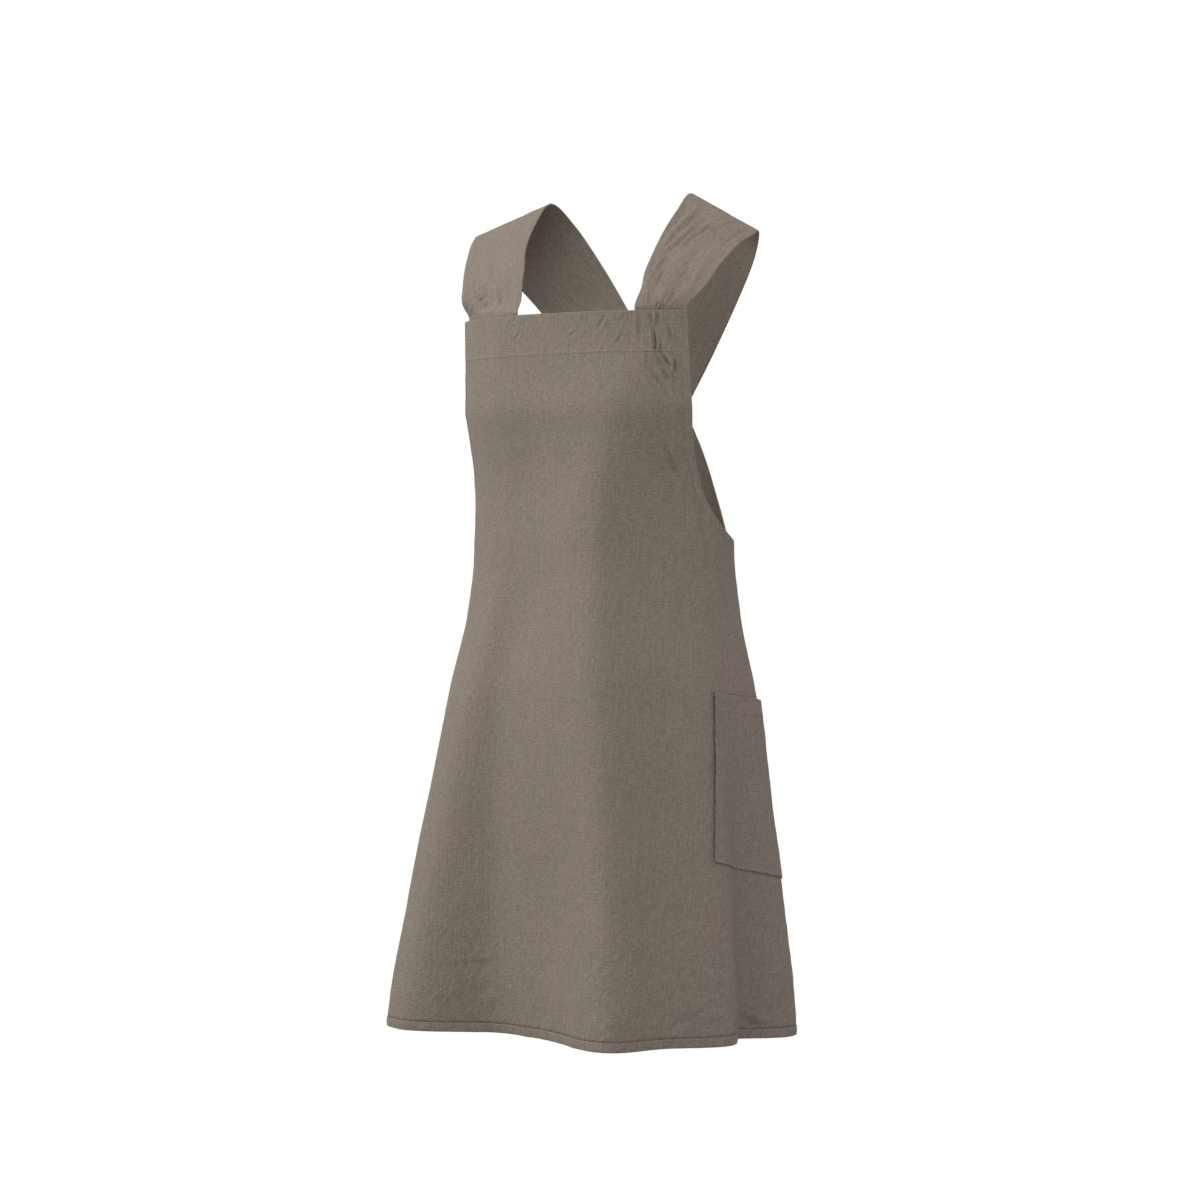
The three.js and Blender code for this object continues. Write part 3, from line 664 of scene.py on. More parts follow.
def shell(name, grid, half, cloth, inner_step=1, facing=None):
    """A closed wall round a grid of points, half as thick to each side, with its place on the cloth.

    The hidden inner face may take only every second row and column of the grid.
    """
    facing = normals(grid) if facing is None else facing
    half = np.broadcast_to(np.asarray(half, float), grid.shape[:2])[..., None]
    rows = sorted(set(range(0, grid.shape[0], inner_step)) | {grid.shape[0] - 1})
    columns = sorted(set(range(0, grid.shape[1], inner_step)) | {grid.shape[1] - 1})
    outer = grid + facing * half
    inner = (grid - facing * half)[np.ix_(rows, columns)]
    wide = grid.shape[1]
    base = grid.shape[0] * wide
    r, c = np.meshgrid(np.arange(grid.shape[0] - 1), np.arange(wide - 1), indexing="ij")
    corner = (r * wide + c).ravel()
    faces = np.stack([corner, corner + wide, corner + wide + 1, corner + 1], axis=1).tolist()
    narrow = len(columns)
    r, c = np.meshgrid(np.arange(len(rows) - 1), np.arange(narrow - 1), indexing="ij")
    corner = base + (r * narrow + c).ravel()
    faces += np.stack([corner, corner + 1, corner + narrow + 1, corner + narrow], axis=1).tolist()
    last = grid.shape[0] - 1
    smooth_faces = len(faces)
    for k in range(narrow - 1):
        top = list(range(columns[k], columns[k + 1] + 1))
        faces.append(top + [base + k + 1, base + k])
        foot = [last * wide + column for column in range(columns[k + 1], columns[k] - 1, -1)]
        lower = base + (len(rows) - 1) * narrow
        faces.append(foot + [lower + k, lower + k + 1])
    for k in range(len(rows) - 1):
        near = [row * wide for row in range(rows[k + 1], rows[k] - 1, -1)]
        faces.append(near + [base + k * narrow, base + (k + 1) * narrow])
        far = [row * wide + wide - 1 for row in range(rows[k], rows[k + 1] + 1)]
        faces.append(far + [base + (k + 1) * narrow + narrow - 1, base + k * narrow + narrow - 1])
    points = np.concatenate([outer.reshape(-1, 3), inner.reshape(-1, 3)])
    places = np.concatenate([cloth.reshape(-1, 2), cloth[np.ix_(rows, columns)].reshape(-1, 2)])
    return piece_from(name, points, faces, places, smooth_faces)


def lay(name, form, angles, drops, out, half, cloth=None, inner_step=1):
    """A wall of cloth laid on the body, at a distance out from its surface."""
    cloth = form.weave(angles, drops) if cloth is None else cloth
    return shell(name, form.on_body(angles, drops, out), half, cloth, inner_step,
                 form.facing(angles, drops))


def folded(s, wall, to_seam, width):
    """Half the thickness of a folded edge that thins to one layer at its seam, and where its middle lies."""
    half = wall / 2 - (wall - s.cloth) / 2 * bell(to_seam, width)
    return half, s.cloth / 2 - half


def piece_from(name, points, faces, places, smooth_faces=None):
    """A mesh object of points and faces, smooth but for its last faces, with its UV map in metres."""
    mesh = bpy.data.meshes.new(name)
    mesh.from_pydata(points.tolist(), [], faces)
    corners = np.empty(len(mesh.loops), int)
    mesh.loops.foreach_get("vertex_index", corners)
    layer = mesh.uv_layers.new(name="cloth")
    layer.data.foreach_set("uv", places[corners].astype(np.float32).ravel())
    smooth_shaded = np.ones(len(faces), bool)
    smooth_shaded[smooth_faces:] = smooth_faces is None
    mesh.polygons.foreach_set("use_smooth", smooth_shaded)
    mesh.validate()
    piece = bpy.data.objects.new(name, mesh)
    bpy.context.scene.collection.objects.link(piece)
    return piece


def wear(piece, material):
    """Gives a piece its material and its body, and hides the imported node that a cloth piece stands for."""
    piece.data.materials.append(material)
    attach(piece, "root")
    if piece.name.endswith("_cloth"):
        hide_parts(piece.name.removesuffix("_cloth"))


def linear(hexcode):
    """Linear colour of an sRGB hex value."""
    parts = [int(hexcode[i:i + 2], 16) / 255 for i in (1, 3, 5)]
    return [c / 12.92 if c <= 0.04045 else ((c + 0.055) / 1.055) ** 2.4 for c in parts] + [1.0]


def node(tree, kind, links=None, **settings):
    """Adds a node with its settings, and links sockets of other nodes to its inputs."""
    made = tree.nodes.new(kind)
    for key, value in settings.items():
        if key.startswith("in_"):
            name = key[3:]
            socket = made.inputs[int(name)] if name.isdigit() else made.inputs[name.replace("_", " ")]
            socket.default_value = value
        else:
            setattr(made, key, value)
    for name, source in (links or {}).items():
        tree.links.new(source, made.inputs[name])
    return made


def blank_material(name):
    """A new material with an empty node tree."""
    material = bpy.data.materials.new(name)
    material.use_nodes = True
    material.node_tree.nodes.clear()
    return material


def washed_linen(looks):
    """Washed linen: plain weave of uneven flax yarns, dyed in the piece, soft and dull."""
    name = "Washed linen"
    if name in bpy.data.materials:
        return bpy.data.materials[name]
    material = blank_material(name)
    tree = material.node_tree
    yarn = looks.yarn
    place = node(tree, "ShaderNodeUVMap", uv_map="cloth").outputs[0]

    def yarns(across, down, detail, rough):
        scaled = node(tree, "ShaderNodeMapping", {0: place}, in_3=(1 / across, 1 / down, 1))
        return node(tree, "ShaderNodeTexNoise", {"Vector": scaled.outputs[0]}, noise_dimensions="2D",
                    in_Scale=1.0, in_Detail=detail, in_Roughness=rough).outputs[0]

    # Yarns are finer than a pixel from the camera, so they are drawn about twice their real spacing.
    warp = yarns(yarn, yarn * 5, 2.0, 0.6)
    weft = yarns(yarn * 3.5, yarn, 2.0, 0.6)
    slub = yarns(yarn * 1.1, yarn * 30, 1.0, 0.5)
    patch = yarns(0.045, 0.060, 3.0, 0.5)
    woven = node(tree, "ShaderNodeMath", {0: warp, 1: weft}, operation="ADD").outputs[0]
    woven = node(tree, "ShaderNodeMath", {0: slub, 2: woven}, operation="MULTIPLY_ADD",
                 in_1=0.45).outputs[0]
    # The three noises together run from about 0.99 at the darkest yarns to 1.46 at the palest.
    tone = node(tree, "ShaderNodeMapRange", {"Value": woven}, in_1=0.99, in_2=1.46).outputs[0]
    dyed = node(tree, "ShaderNodeMix", {"Factor": patch}, data_type="RGBA", in_6=linear(looks.cool),
                in_7=linear(looks.warm)).outputs[2]
    # The cloth turns rosy from 140 to 300 mm round from the middle of the front.
    round_body, fall, _ = node(tree, "ShaderNodeSeparateXYZ", {0: place}).outputs
    rosy = node(tree, "ShaderNodeMapRange", {"Value": round_body}, in_1=0.14, in_2=0.30).outputs[0]
    dyed = node(tree, "ShaderNodeMix", {"Factor": rosy, 6: dyed}, data_type="RGBA",
                in_7=linear(looks.rosy)).outputs[2]
    pale, deep = (node(tree, "ShaderNodeMix", {6: dyed}, data_type="RGBA", in_0=0.5,
                       in_7=linear(shade)).outputs[2] for shade in (looks.light, looks.dark))
    colour = node(tree, "ShaderNodeMix", {"Factor": tone, 6: deep, 7: pale}, data_type="RGBA").outputs[2]
    # Slanting wrinkles of 10 by 28 mm, which grow stronger from 760 to 940 mm below the shoulder.
    turned = node(tree, "ShaderNodeMapping", {0: place}, vector_type="TEXTURE", in_2=(0, 0, 0.7),
                  in_3=(0.010, 0.028, 1))
    crumple = node(tree, "ShaderNodeTexNoise", {"Vector": turned.outputs[0]}, noise_dimensions="2D",
                   in_Scale=1.0, in_Detail=2.0, in_Distortion=0.6).outputs[0]
    crumple = node(tree, "ShaderNodeMath", {0: crumple}, operation="SUBTRACT", in_1=0.5).outputs[0]
    crumple = node(tree, "ShaderNodeMath", {0: crumple}, operation="ABSOLUTE").outputs[0]
    much = node(tree, "ShaderNodeMapRange", {"Value": fall}, in_1=0.76, in_2=0.94, in_3=0.04, in_4=0.35)
    wrinkled = node(tree, "ShaderNodeBump", {"Height": crumple, "Strength": much.outputs[0]},
                    in_Distance=0.007)
    bump = node(tree, "ShaderNodeBump", {"Height": woven, "Normal": wrinkled.outputs[0]},
                in_Strength=0.8, in_Distance=0.0010)
    surface = node(tree, "ShaderNodeBsdfPrincipled",
                   {"Base Color": colour, "Normal": bump.outputs[0]}, in_Roughness=0.92)
    surface.inputs["Specular IOR Level"].default_value = 0.12
    node(tree, "ShaderNodeOutputMaterial", {"Surface": surface.outputs[0]})
    return material


def polyester_thread(looks):
    """Spun polyester sewing thread: a little paler and smoother than the cloth."""
    material = blank_material("Spun polyester thread")
    tree = material.node_tree
    spot = node(tree, "ShaderNodeTexCoord").outputs["Object"]
    twist = node(tree, "ShaderNodeTexNoise", {"Vector": spot}, in_Scale=900.0, in_Detail=1.0).outputs[0]
    colour = node(tree, "ShaderNodeMix", {"Factor": twist}, data_type="RGBA",
                  in_6=linear(looks.light), in_7=linear(looks.thread)).outputs[2]
    surface = node(tree, "ShaderNodeBsdfPrincipled", {"Base Color": colour}, in_Roughness=0.7)
    surface.inputs["Sheen Weight"].default_value = 0.1
    node(tree, "ShaderNodeOutputMaterial", {"Surface": surface.outputs[0]})
    return material


def body_columns(form, bib, armhole, back, far_armhole, far_back):
    """Angles at the top and the bottom of each column, the drop of its top, and where it starts to turn.

    The counts are of columns, which lie closer at the gathers and at the wearer's left.
    """
    s = form.s
    inset = s.edge_hem - LAP
    hem_end = form.back_edge(1, inset)

    def flank(side, armhole_count, back_count):
        share = two_runs(0, ARMHOLE_SHARE, 1, armhole_count, back_count)
        angle, drop = form.armhole_edge(side, share, inset)
        angle[-1] = form.back_edge(0, inset)
        hem = angle[0] * BIB_AT_HEM + (hem_end - angle[0] * BIB_AT_HEM) * share
        return np.stack([side * angle, side * hem, drop, np.minimum(drop, s.underarm)])

    left = flank(1, armhole, back)
    right = flank(-1, far_armhole, far_back)[:, ::-1]
    fine = (GATHERS + CORNERS[-1]) / (CORNERS[1] + CORNERS[-1])
    share = two_runs(0, fine, 1, bib // 2, bib - bib // 2)[1:-1]
    bib = right[:, -1:] + (left[:, :1] - right[:, -1:]) * share
    return np.concatenate([right, bib, left], axis=1)


class APRON_OT_body(bpy.types.Operator):
    """Makes the one-piece body of the apron"""
    bl_idname = "apron.body"
    bl_label = "Body"

    def execute(self, context):
        s = context.scene.apron_sizes
        form = Form(s)
        top, hem, drop, start = body_columns(form, 212, 50, 40, 26, 24)
        foot = s.length_down - s.bottom_hem + LAP
        waist = s.underarm + 3 * s.edge_hem
        upper = two_runs(0, 0.22, 1, 44, 46)[:-1, None]
        lower = np.linspace(waist, foot, 128)[:, None]
        drops = np.concatenate([drop + (waist - drop) * upper, lower + 0 * drop])
        angles = top + (hem - top) * (drops - start) / (s.length_down - start)
        piece = lay("body_panel_cloth", form, angles, drops, form.relief(angles, drops), s.cloth / 2,
                    inner_step=2)
        wear(piece, washed_linen(context.scene.apron_looks))
        return {"FINISHED"}


class APRON_OT_band(bpy.types.Operator):
    """Makes the folded band along the top of the bib"""
    bl_idname = "apron.band"
    bl_label = "Bib band"

    def execute(self, context):
        s = context.scene.apron_sizes
        form = Form(s)
        fall = spread(0, s.band_height, 42, edges=(0, s.band_height))[:, None]
        angles = two_runs(-CORNERS[-1], GATHERS, CORNERS[1], 340, 120) + 0 * fall
        drops = s.bib_top + fall + 0 * angles
        half, middle = folded(s, s.band_wall, s.band_height - fall, 1.5 * MM)
        reach = form.cloth(angles, drops)[0]
        ends = np.minimum(reach - reach[:, :1], reach[:, -1:] - reach)
        half = half * rounded(fall, s.band_wall / 2) * rounded(ends, s.band_wall / 2)
        side_seam = -0.6 * MM * bell(ends - 6 * MM, 0.9 * MM)
        piece = lay("bib_band_cloth", form, angles, drops,
                    middle + PROUD + form.relief(angles, drops) + side_seam, half, inner_step=2)
        wear(piece, washed_linen(context.scene.apron_looks))
        return {"FINISHED"}


class APRON_OT_edges(bpy.types.Operator):
    """Makes the narrow turned edges of the armholes and the back, and the bottom hem"""
    bl_idname = "apron.edges"
    bl_label = "Turned edges"

    def execute(self, context):
        s = context.scene.apron_sizes
        form = Form(s)
        linen = washed_linen(context.scene.apron_looks)
        self.bottom(form, linen)
        for side, name in ((1, "left"), (-1, "right")):
            self.armhole(form, linen, side, f"armhole_hem_{name}")
            self.back(form, linen, side, f"back_hem_{name}")
        return {"FINISHED"}

    def bottom(self, form, linen):
        s = form.s
        fall = spread(0, s.bottom_hem, 9, edges=(0, s.bottom_hem))[:, None]
        end = form.back_edge(1, 0)
        angles = np.linspace(-end, end, 900) + 0 * fall
        drops = s.length_down - s.bottom_hem + fall + 0 * angles
        half, middle = folded(s, s.bottom_wall, fall, 1.2 * MM)
        puff = 0.25 * MM * np.sin(np.pi * np.clip(fall / s.bottom_hem, 0, 1))
        half = half * rounded(s.bottom_hem - fall, s.bottom_wall / 2)
        piece = lay("bottom_hem_cloth", form, angles, drops,
                    middle * 0.6 + PROUD + puff + form.relief(angles, drops), half)
        wear(piece, linen)

    def strip(self, form, linen, side, name, angles, drops, inset, proud):
        """A turned edge: rows run from its free edge inwards, columns along it."""
        s = form.s
        inset = inset[:, None]
        to_seam = s.edge_hem - inset
        half, middle = folded(s, s.edge_wall, to_seam, 1.3 * MM)
        half = np.broadcast_to(half * rounded(inset, s.edge_wall / 2), angles.shape)
        groove = -0.35 * MM * bell(to_seam - 3.5 * MM, 1.2 * MM)
        pucker = noise(np.arange(angles.shape[1]) / 3.1, 0 * inset, 21 + side)
        out = middle + proud + groove + 0.25 * MM * (1 - bell(to_seam, 1.3 * MM)) * pucker
        out = out + form.relief(side * angles, drops)
        if side < 0:
            angles, drops, out, half = (value[:, ::-1] for value in (-angles, drops, out, half))
        piece = lay(name + "_cloth", form, angles, drops, out, half)
        wear(piece, linen)
        return piece

    def armhole(self, form, linen, side, name):
        s = form.s
        inset = spread(0, s.edge_hem, 8, edges=(0, s.edge_hem))
        pairs = [form.armhole_edge(side, np.linspace(0, 1, 300), value) for value in inset]
        angles, drops = np.stack(pairs, axis=1)
        piece = self.strip(form, linen, side, name, angles, drops, inset, PROUD)

    def back(self, form, linen, side, name):
        s = form.s
        inset = spread(0, s.edge_hem, 7, edges=(0, s.edge_hem))
        drop = np.linspace(s.underarm + s.edge_hem - LAP, s.length_down - s.bottom_hem + LAP, 160)
        drop = drop[::-1]
        angles = np.stack([form.back_edge(form.level(drop), value) for value in inset])
        piece = self.strip(form, linen, side, name, angles, drop + 0 * angles, inset, BACK_PROUD)


def strap_grid(form, side, front, sewn, over, columns, places):
    """Rows of points across one strap, from behind the band over the shoulder to the back edge."""
    s = form.s
    across = (columns - 0.5) * s.strap_width
    behind_band = -(BEHIND_BAND + s.strap_wall / 2)
    behind_edge = -(BEHIND_EDGE + s.strap_wall / 2)
    rise = s.strap_wall + CROSS_CLEAR if over else 0
    keys = []

    def laid(x, drop, slope, width, out, back):
        tilt = math.radians(slope)
        reach = x * s.shoulder + across * width * math.cos(tilt)
        level = drop + across * width * math.sin(tilt)
        keys.append(form.on_body(form.angle_at(side * reach, level, back), level, out))

    foot = s.bib_top + s.band_height - s.edge_hem / 2
    for drop in (foot, s.bib_top + s.band_height / 2, s.bib_top, s.bib_top - s.edge_hem / 2):
        laid(sewn.x, drop, 0, sewn.width, behind_band, False)
    for row in [*front, *BEHIND_SHOULDER]:
        wide = across * row.width
        level = wide * math.cos(math.radians(row.slope))
        x = row.x * s.shoulder + level * math.cos(math.radians(row.turn))
        y = row.y * s.chest[1] + level * math.sin(math.radians(row.turn))
        z = -row.z * s.bib_top - wide * math.sin(math.radians(row.slope))
        keys.append(np.stack([side * x, y, z], axis=-1))
    for row in ON_BACK:
        laid(row.x, row.drop * s.underarm, row.slope, 1, behind_edge + rise, True)
    for tail in (-s.strap_tail, 0, s.strap_tail):
        x = BACK_END.x - tail * math.tan(math.radians(BACK_END.slope)) / s.shoulder
        laid(x, s.underarm + tail, BACK_END.slope, 1, behind_edge, True)
    return spline(np.array(keys), places), len(keys)


class APRON_OT_straps(bpy.types.Operator):
    """Makes the two wide straps, which cross on the back"""
    bl_idname = "apron.straps"
    bl_label = "Straps"

    def execute(self, context):
        s = context.scene.apron_sizes
        form = Form(s)
        linen = washed_linen(context.scene.apron_looks)
        straps = (("strap_left", 1, LEFT_FRONT, LEFT_SEWN, True, LEFT_PULLS),
                  ("strap_right", -1, RIGHT_FRONT, RIGHT_SEWN, False, RIGHT_PULLS))
        for name, side, front, sewn, over, pulls in straps:
            self.strap(form, linen, name, side, front, sewn, over, pulls)
        return {"FINISHED"}

    def strap(self, form, linen, name, side, front, sewn, over, pulls):
        s = form.s
        wide = s.strap_width
        columns = spread(0, wide, 84, edges=(0, wide)) / wide
        trial = np.linspace(0, 1, 600)
        middle, keys = strap_grid(form, side, front, sewn, over, np.array([0.5]), trial)
        run = run_along(middle[:, 0])
        even = two_runs(0, GATHERED_RUN, run[-1], 210, 130)
        places = np.interp(even, run, trial)
        grid, keys = strap_grid(form, side, front, sewn, over, columns, places)
        # Along is counted from the top edge of the band, on which the third key lies.
        start = np.interp(2 / (keys - 1), trial, run)
        along = (even - start)[:, None] + 0 * columns
        across = (columns - 0.5)[None, :] + 0 * along
        # Three soft gathers swell out above the band and die away over the shoulder.
        key = (places * (keys - 1))[:, None]
        puff = smooth(key, 3, 4) * (1 - smooth(key, 4, 8))
        ridge = np.sin(2 * np.pi * 3 * columns)[None, :] * 1.2 * MM * puff
        flat = grid * np.array([1, 1, 0])
        grid = grid + flat / np.linalg.norm(flat, axis=-1, keepdims=True) * ridge[..., None]
        relief = sum(waved(wave, across * wide, along, side) for wave in STRAP_WAVES)
        for pull in pulls:
            relief += press(across * wide, along, (pull.across * wide, pull.along),
                            (pull.to_across * wide, pull.to_along), pull.depth, pull.width, pull.bow)
        # Behind the band the strap follows the band's own creases.
        sewn_in = 1 - smooth(along, -0.004, 0.004)
        angle = np.degrees(np.arctan2(grid[..., 0], -grid[..., 1]))
        behind = form.relief(angle, np.clip(-grid[..., 2], s.bib_top, s.length_down))
        relief = relief * (1 - sewn_in) + behind * sewn_in
        if side < 0:
            grid = grid[:, ::-1]
            relief = relief[:, ::-1]
        grid = grid + normals(grid) * relief[..., None]
        edge = np.minimum(columns, 1 - columns) * wide
        half = s.strap_wall / 2 * rounded(edge, s.strap_wall / 2) + 0 * along
        cloth = np.stack([across * wide + 0.18, along], axis=-1)
        cloth = cloth[:, ::-1] if side < 0 else cloth
        piece = shell(name + "_cloth", grid, half, cloth, inner_step=2)
        wear(piece, linen)


def smooth(value, low, high):
    """Smooth step from 0 at low to 1 at high."""
    t = np.clip((value - low) / (high - low), 0, 1)
    return t * t * (3 - 2 * t)


def pocket_grid(form, levels, steps, wall):
    """Angles, drops and distances out of the pocket's middle surface, in rows from its mouth down."""
    s = form.s
    down = (levels - s.pocket_top)[:, None] / s.pocket_height
    lead = s.pocket_lead + s.pocket_swing * down[:, 0]
    angle = 90 - np.degrees(np.arcsin(lead / form.radius(np.full(len(levels), 90.0), levels)))
    across = spread(0, s.pocket_width, steps, edges=(0, s.pocket_width)) / s.pocket_width
    drops = levels[:, None] + s.pocket_droop * across * (MOUTH_DROOP + (1 - MOUTH_DROOP) * down ** 2)
    angles = np.zeros(drops.shape)
    angles[:, 0] = angle
    for i in range(1, len(across)):
        here = angles[:, i - 1]
        drop = drops[:, i - 1]
        step = np.linalg.norm(form.on_axis(here + 0.5, drop) - form.on_axis(here - 0.5, drop), axis=-1)
        angles[:, i] = here + s.pocket_width * (across[i] - across[i - 1]) / step
    ragged = 1 + 0.35 * noise(levels / 0.0045, 0 * levels, 51) + 0.2 * noise(levels / 0.0015, 0 * levels, 52)
    lift = 1.9 * MM * ragged[:, None] * bell(across * s.pocket_width, 3.5 * MM)
    gape = s.pocket_gape * np.sin(np.pi * across) * np.maximum(1 - down, 0) ** 2
    return angles, drops, s.cloth / 2 + POCKET_ROOM + gape + lift + wall / 2, across


class APRON_OT_pocket(bpy.types.Operator):
    """Makes the patch pocket and its folded mouth"""
    bl_idname = "apron.pocket"
    bl_label = "Pocket"

    def execute(self, context):
        s = context.scene.apron_sizes
        form = Form(s)
        linen = washed_linen(context.scene.apron_looks)
        seam = s.pocket_top + s.pocket_hem
        foot = s.pocket_top + s.pocket_height
        self.cloth(form, linen, "side_pocket", seam - LAP, foot, 72, s.cloth, foot, 0.178)
        self.cloth(form, linen, "pocket_hem", s.pocket_top, seam, 13, POCKET_HEM_WALL, s.pocket_top, 0.0215)
        return {"FINISHED"}

    def cloth(self, form, linen, name, top, foot, rows, wall, fold, height):
        s = form.s
        levels = spread(top, foot, rows, edges=(top, foot))
        angles, drops, out, across = pocket_grid(form, levels, 90, wall)
        wide = across * s.pocket_width + 0 * drops
        half = wall / 2 * rounded(np.minimum(wide, s.pocket_width - wide), wall / 2)
        half = half * rounded(np.abs(levels - fold), wall / 2)[:, None]
        seam = levels - s.pocket_top - s.pocket_hem
        relief = -0.12 * MM * bell(seam, 1.4 * MM)[:, None] + POCKET_FOLLOWS * form.relief(angles, drops)
        relief += sum(waved(wave, wide, drops) for wave in POCKET_WAVES)
        cloth = np.stack([wide, levels[:, None] + 0 * drops], axis=-1) + POCKET_WEAVE
        piece = lay(name + "_cloth", form, angles, drops, out + relief, half, cloth)
        wear(piece, linen)


class APRON_OT_stitches(bpy.types.Operator):
    """Makes the rows of machine stitches along the band, the hems and the pocket"""
    bl_idname = "apron.stitches"
    bl_label = "Stitches"

    def execute(self, context):
        s = context.scene.apron_sizes
        form = Form(s)
        thread = polyester_thread(context.scene.apron_looks)

        def on_body(angles, drops, rise=0.0):
            out = s.cloth / 2 + 0.12 * MM + rise + form.relief(angles, drops)
            return form.on_body(angles, drops, out)

        across = np.linspace(0.6 - CORNERS[-1], CORNERS[1] - 0.6, 900)
        seam = s.bib_top + s.band_height - 2 * MM
        self.sew("band_stitches", [on_body(across, np.full(900, seam))], thread, "linen_band", s)
        end = form.back_edge(1, 2 * MM)
        across = np.linspace(-end, end, 2400)
        line = np.full(2400, s.length_down - s.bottom_hem + 0.9 * MM)
        self.sew("hem_stitches", [on_body(across, line, 0.35 * MM)], thread, "linen_edge", s)
        lines = []
        for side in (1, -1):
            angle, drop = form.armhole_edge(side, np.linspace(0.002, 0.998, 900), s.edge_hem - 3.5 * MM)
            lines.append(on_body(side * angle, drop))
            drop = np.linspace(s.underarm + s.edge_hem, s.length_down - s.bottom_hem, 900)
            angle = form.back_edge(form.level(drop), s.edge_hem - 1.8 * MM)
            lines.append(on_body(side * angle, drop, 0.3 * MM))
        self.sew("edge_stitches", lines, thread, "linen_edge", s)
        self.sew("pocket_stitches", self.pocket(form), thread, "linen_pocket", s)
        return {"FINISHED"}

    def pocket(self, form):
        s = form.s
        levels = np.linspace(s.pocket_top, s.pocket_top + s.pocket_height, 240)
        angles, drops, out, across = pocket_grid(form, levels, 120, s.cloth)
        out = out + s.cloth / 2 + 0.05 * MM + POCKET_FOLLOWS * form.relief(angles, drops)
        grid = form.on_body(angles, drops, out)
        inset = 2.2 * MM
        near, far = np.searchsorted(across * s.pocket_width, (inset, s.pocket_width - inset))
        foot = round((1 - inset / s.pocket_height) * (len(levels) - 1))
        mouth = round((s.pocket_hem - 2 * MM) / s.pocket_height * (len(levels) - 1))
        return [grid[:foot, near], grid[:foot, far], grid[foot, near:far], grid[mouth, near:far]]

    def sew(self, name, lines, thread, slot, sizes):
        """Lays small rounded stitches end to end along lines of points."""
        bpy.ops.object.select_all(action="DESELECT")
        bpy.ops.mesh.primitive_uv_sphere_add(segments=6, ring_count=4, radius=0.5)
        model = bpy.context.object
        shape = np.array([vertex.co for vertex in model.data.vertices])
        shape = shape * [sizes.thread, sizes.thread, sizes.stitch]
        polygons = [list(polygon.vertices) for polygon in model.data.polygons]
        bpy.data.objects.remove(model)
        points = []
        faces = []
        for line in lines:
            run = run_along(line)
            middles = np.arange(sizes.stitch_pitch, run[-1] - sizes.stitch_pitch / 2, sizes.stitch_pitch)
            for at in middles:
                here, ahead = (np.array([np.interp(at + step, run, line[:, i]) for i in range(3)])
                               for step in (-0.5 * MM, 0.5 * MM))
                run_way = (ahead - here) / np.linalg.norm(ahead - here)
                side = np.cross(run_way, [here[0], here[1], 0.02])
                side = side / np.linalg.norm(side)
                out = np.cross(side, run_way)
                placed = shape @ np.stack([side, out, run_way]) + (here + ahead) / 2
                faces += [[corner + len(points) * len(shape) for corner in polygon] for polygon in polygons]
                points.append(placed)
        points = np.concatenate(points)
        piece = piece_from(name, points, faces, points[:, :2])
        wear(piece, thread)


class APRON_OT_stage(bpy.types.Operator):
    """Sets the camera, the pale floor and backdrop and the soft lights"""
    bl_idname = "apron.stage"
    bl_label = "Studio"

    def execute(self, context):
        studio = context.scene.apron_studio
        azimuth = math.radians(studio.turn)
        bpy.ops.object.select_all(action="DESELECT")
        place = (studio.distance * math.sin(azimuth), -studio.distance * math.cos(azimuth), studio.height)
        bpy.ops.object.camera_add(location=place, rotation=(math.pi / 2, 0, azimuth))
        camera = context.object
        camera.data.sensor_width = 36
        camera.data.lens = 102
        context.scene.camera = camera
        context.scene.view_settings.view_transform = "Standard"
        self.lights(studio, azimuth)
        self.floor(studio)
        self.sky(context, studio)
        return {"FINISHED"}

    def lights(self, studio, azimuth):
        for lamp, power in zip(LAMPS, (studio.key, studio.top)):
            around = azimuth + math.radians(lamp.turn)
            up = math.radians(lamp.rise)
            level = lamp.distance * math.cos(up)
            place = (level * math.sin(around), -level * math.cos(around),
                     -0.5 + lamp.distance * math.sin(up))
            bpy.ops.object.light_add(type="AREA", location=place, rotation=(math.pi / 2 - up, 0, around))
            light = bpy.context.object
            light.name = lamp.name
            light.data.shape = "DISK"
            light.data.size = lamp.size
            light.data.energy = power

    def floor(self, studio):
        bpy.ops.object.select_all(action="DESELECT")
        bpy.ops.mesh.primitive_circle_add(vertices=96, radius=9, fill_type="NGON",
                                          location=(0, 0, studio.floor))
        bpy.ops.object.transform_apply(location=True, rotation=True, scale=True)
        self.paper("floor", studio_paper())
        bpy.ops.object.select_all(action="DESELECT")
        bpy.ops.mesh.primitive_uv_sphere_add(segments=64, ring_count=32, radius=9.5)
        self.paper("backdrop", backlit_paper()).visible_glossy = False

    def paper(self, name, material):
        """Makes the new mesh a piece of the stage that throws no light or shade on the apron."""
        sheet = bpy.context.object
        sheet.name = name
        sheet.data.materials.append(material)
        sheet.visible_diffuse = False
        sheet.visible_shadow = False
        sheet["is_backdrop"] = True
        return sheet

    def sky(self, context, studio):
        world = context.scene.world or bpy.data.worlds.new("studio")
        context.scene.world = world
        world.use_nodes = True
        tree = world.node_tree
        tree.nodes.clear()
        way = node(tree, "ShaderNodeTexCoord").outputs["Generated"]
        height = node(tree, "ShaderNodeSeparateXYZ", {0: way}).outputs["Z"]
        bright = node(tree, "ShaderNodeMapRange", {"Value": height}, in_1=-1.0, in_2=1.0,
                      in_3=studio.sky * 0.5, in_4=studio.sky * 1.5).outputs[0]
        glow = node(tree, "ShaderNodeBackground", {"Strength": bright}, in_Color=(1, 1, 1, 1)).outputs[0]
        node(tree, "ShaderNodeOutputWorld", {"Surface": glow})


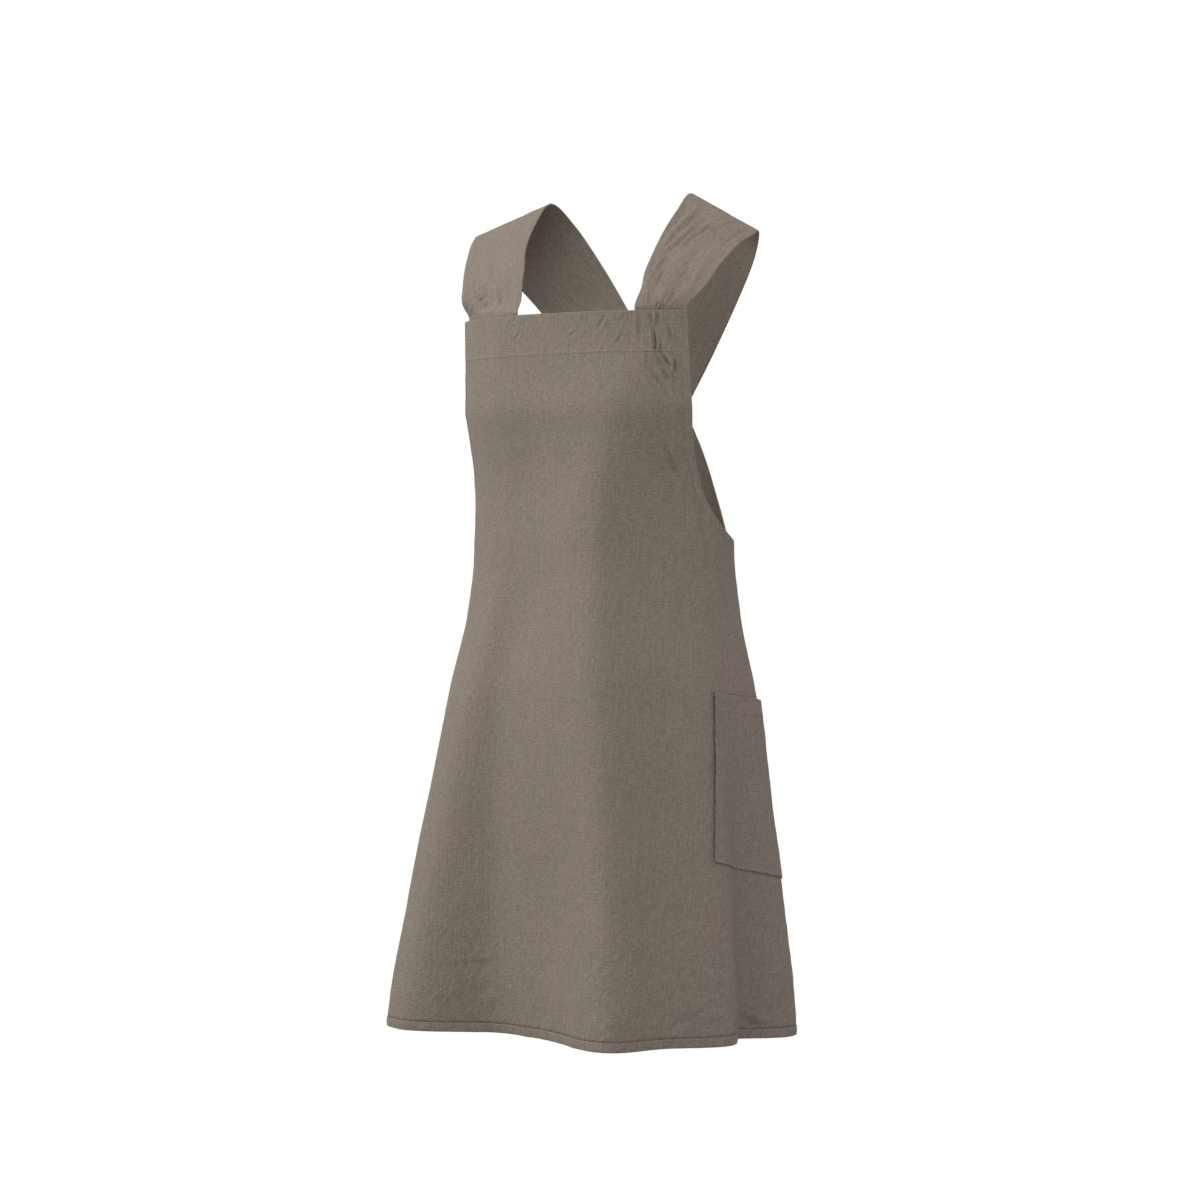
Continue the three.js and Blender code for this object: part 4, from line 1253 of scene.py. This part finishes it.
def studio_paper():
    """White background paper: matt near the apron, and washed out by light further off."""
    material = blank_material("Background paper")
    tree = material.node_tree
    spot = node(tree, "ShaderNodeTexCoord").outputs["Object"]
    flat = node(tree, "ShaderNodeVectorMath", {0: spot}, operation="MULTIPLY", in_1=(1, 1, 0)).outputs[0]
    reach = node(tree, "ShaderNodeVectorMath", {0: flat}, operation="LENGTH").outputs["Value"]
    washed = node(tree, "ShaderNodeMapRange", {"Value": reach}, interpolation_type="SMOOTHSTEP",
                  in_1=0.25, in_2=0.75).outputs[0]
    paper = node(tree, "ShaderNodeBsdfDiffuse", in_Color=(0.86, 0.86, 0.86, 1)).outputs[0]
    glow = node(tree, "ShaderNodeEmission", in_Strength=1.0).outputs[0]
    mixed = node(tree, "ShaderNodeMixShader", {0: washed, 1: paper, 2: glow}).outputs[0]
    node(tree, "ShaderNodeOutputMaterial", {"Surface": mixed})
    return material


def backlit_paper():
    """White paper lit from behind, which shows as plain white."""
    material = blank_material("Backlit paper")
    tree = material.node_tree
    glow = node(tree, "ShaderNodeEmission", in_Strength=1.0).outputs[0]
    node(tree, "ShaderNodeOutputMaterial", {"Surface": glow})
    return material


OPERATORS = (APRON_OT_body, APRON_OT_band, APRON_OT_edges, APRON_OT_straps, APRON_OT_pocket,
             APRON_OT_stitches, APRON_OT_stage)
GROUPS = {"apron_sizes": ApronSizes, "apron_looks": LinenLooks, "apron_studio": StudioLight}


class APRON_PT_panel(bpy.types.Panel):
    """Lists the sizes, colours and steps of the apron"""
    bl_idname = "APRON_PT_panel"
    bl_label = "Cross back apron"
    bl_space_type = "VIEW_3D"
    bl_region_type = "UI"
    bl_category = "Apron"

    def draw(self, context):
        for name in GROUPS:
            group = getattr(context.scene, name)
            for key in group.bl_rna.properties.keys():
                if key not in ("rna_type", "name"):
                    self.layout.prop(group, key)
        for operator in OPERATORS:
            self.layout.operator(operator.bl_idname)


def register():
    for group in GROUPS.values():
        bpy.utils.register_class(group)
    for name, group in GROUPS.items():
        setattr(bpy.types.Scene, name, bpy.props.PointerProperty(type=group))
    for item in (*OPERATORS, APRON_PT_panel):
        bpy.utils.register_class(item)


def unregister():
    for item in (APRON_PT_panel, *reversed(OPERATORS)):
        bpy.utils.unregister_class(item)
    for name, group in GROUPS.items():
        delattr(bpy.types.Scene, name)
        bpy.utils.unregister_class(group)


def main():
    """Registers the add-on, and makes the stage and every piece."""
    register()
    bpy.ops.apron.stage()
    bpy.ops.apron.body()
    bpy.ops.apron.band()
    bpy.ops.apron.edges()
    bpy.ops.apron.straps()
    bpy.ops.apron.pocket()
    bpy.ops.apron.stitches()
    plain = [[[float(v) for v in corner] for corner in box] for box in (LAID_OUT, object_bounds())]


if __name__ == "__main__":
    main()
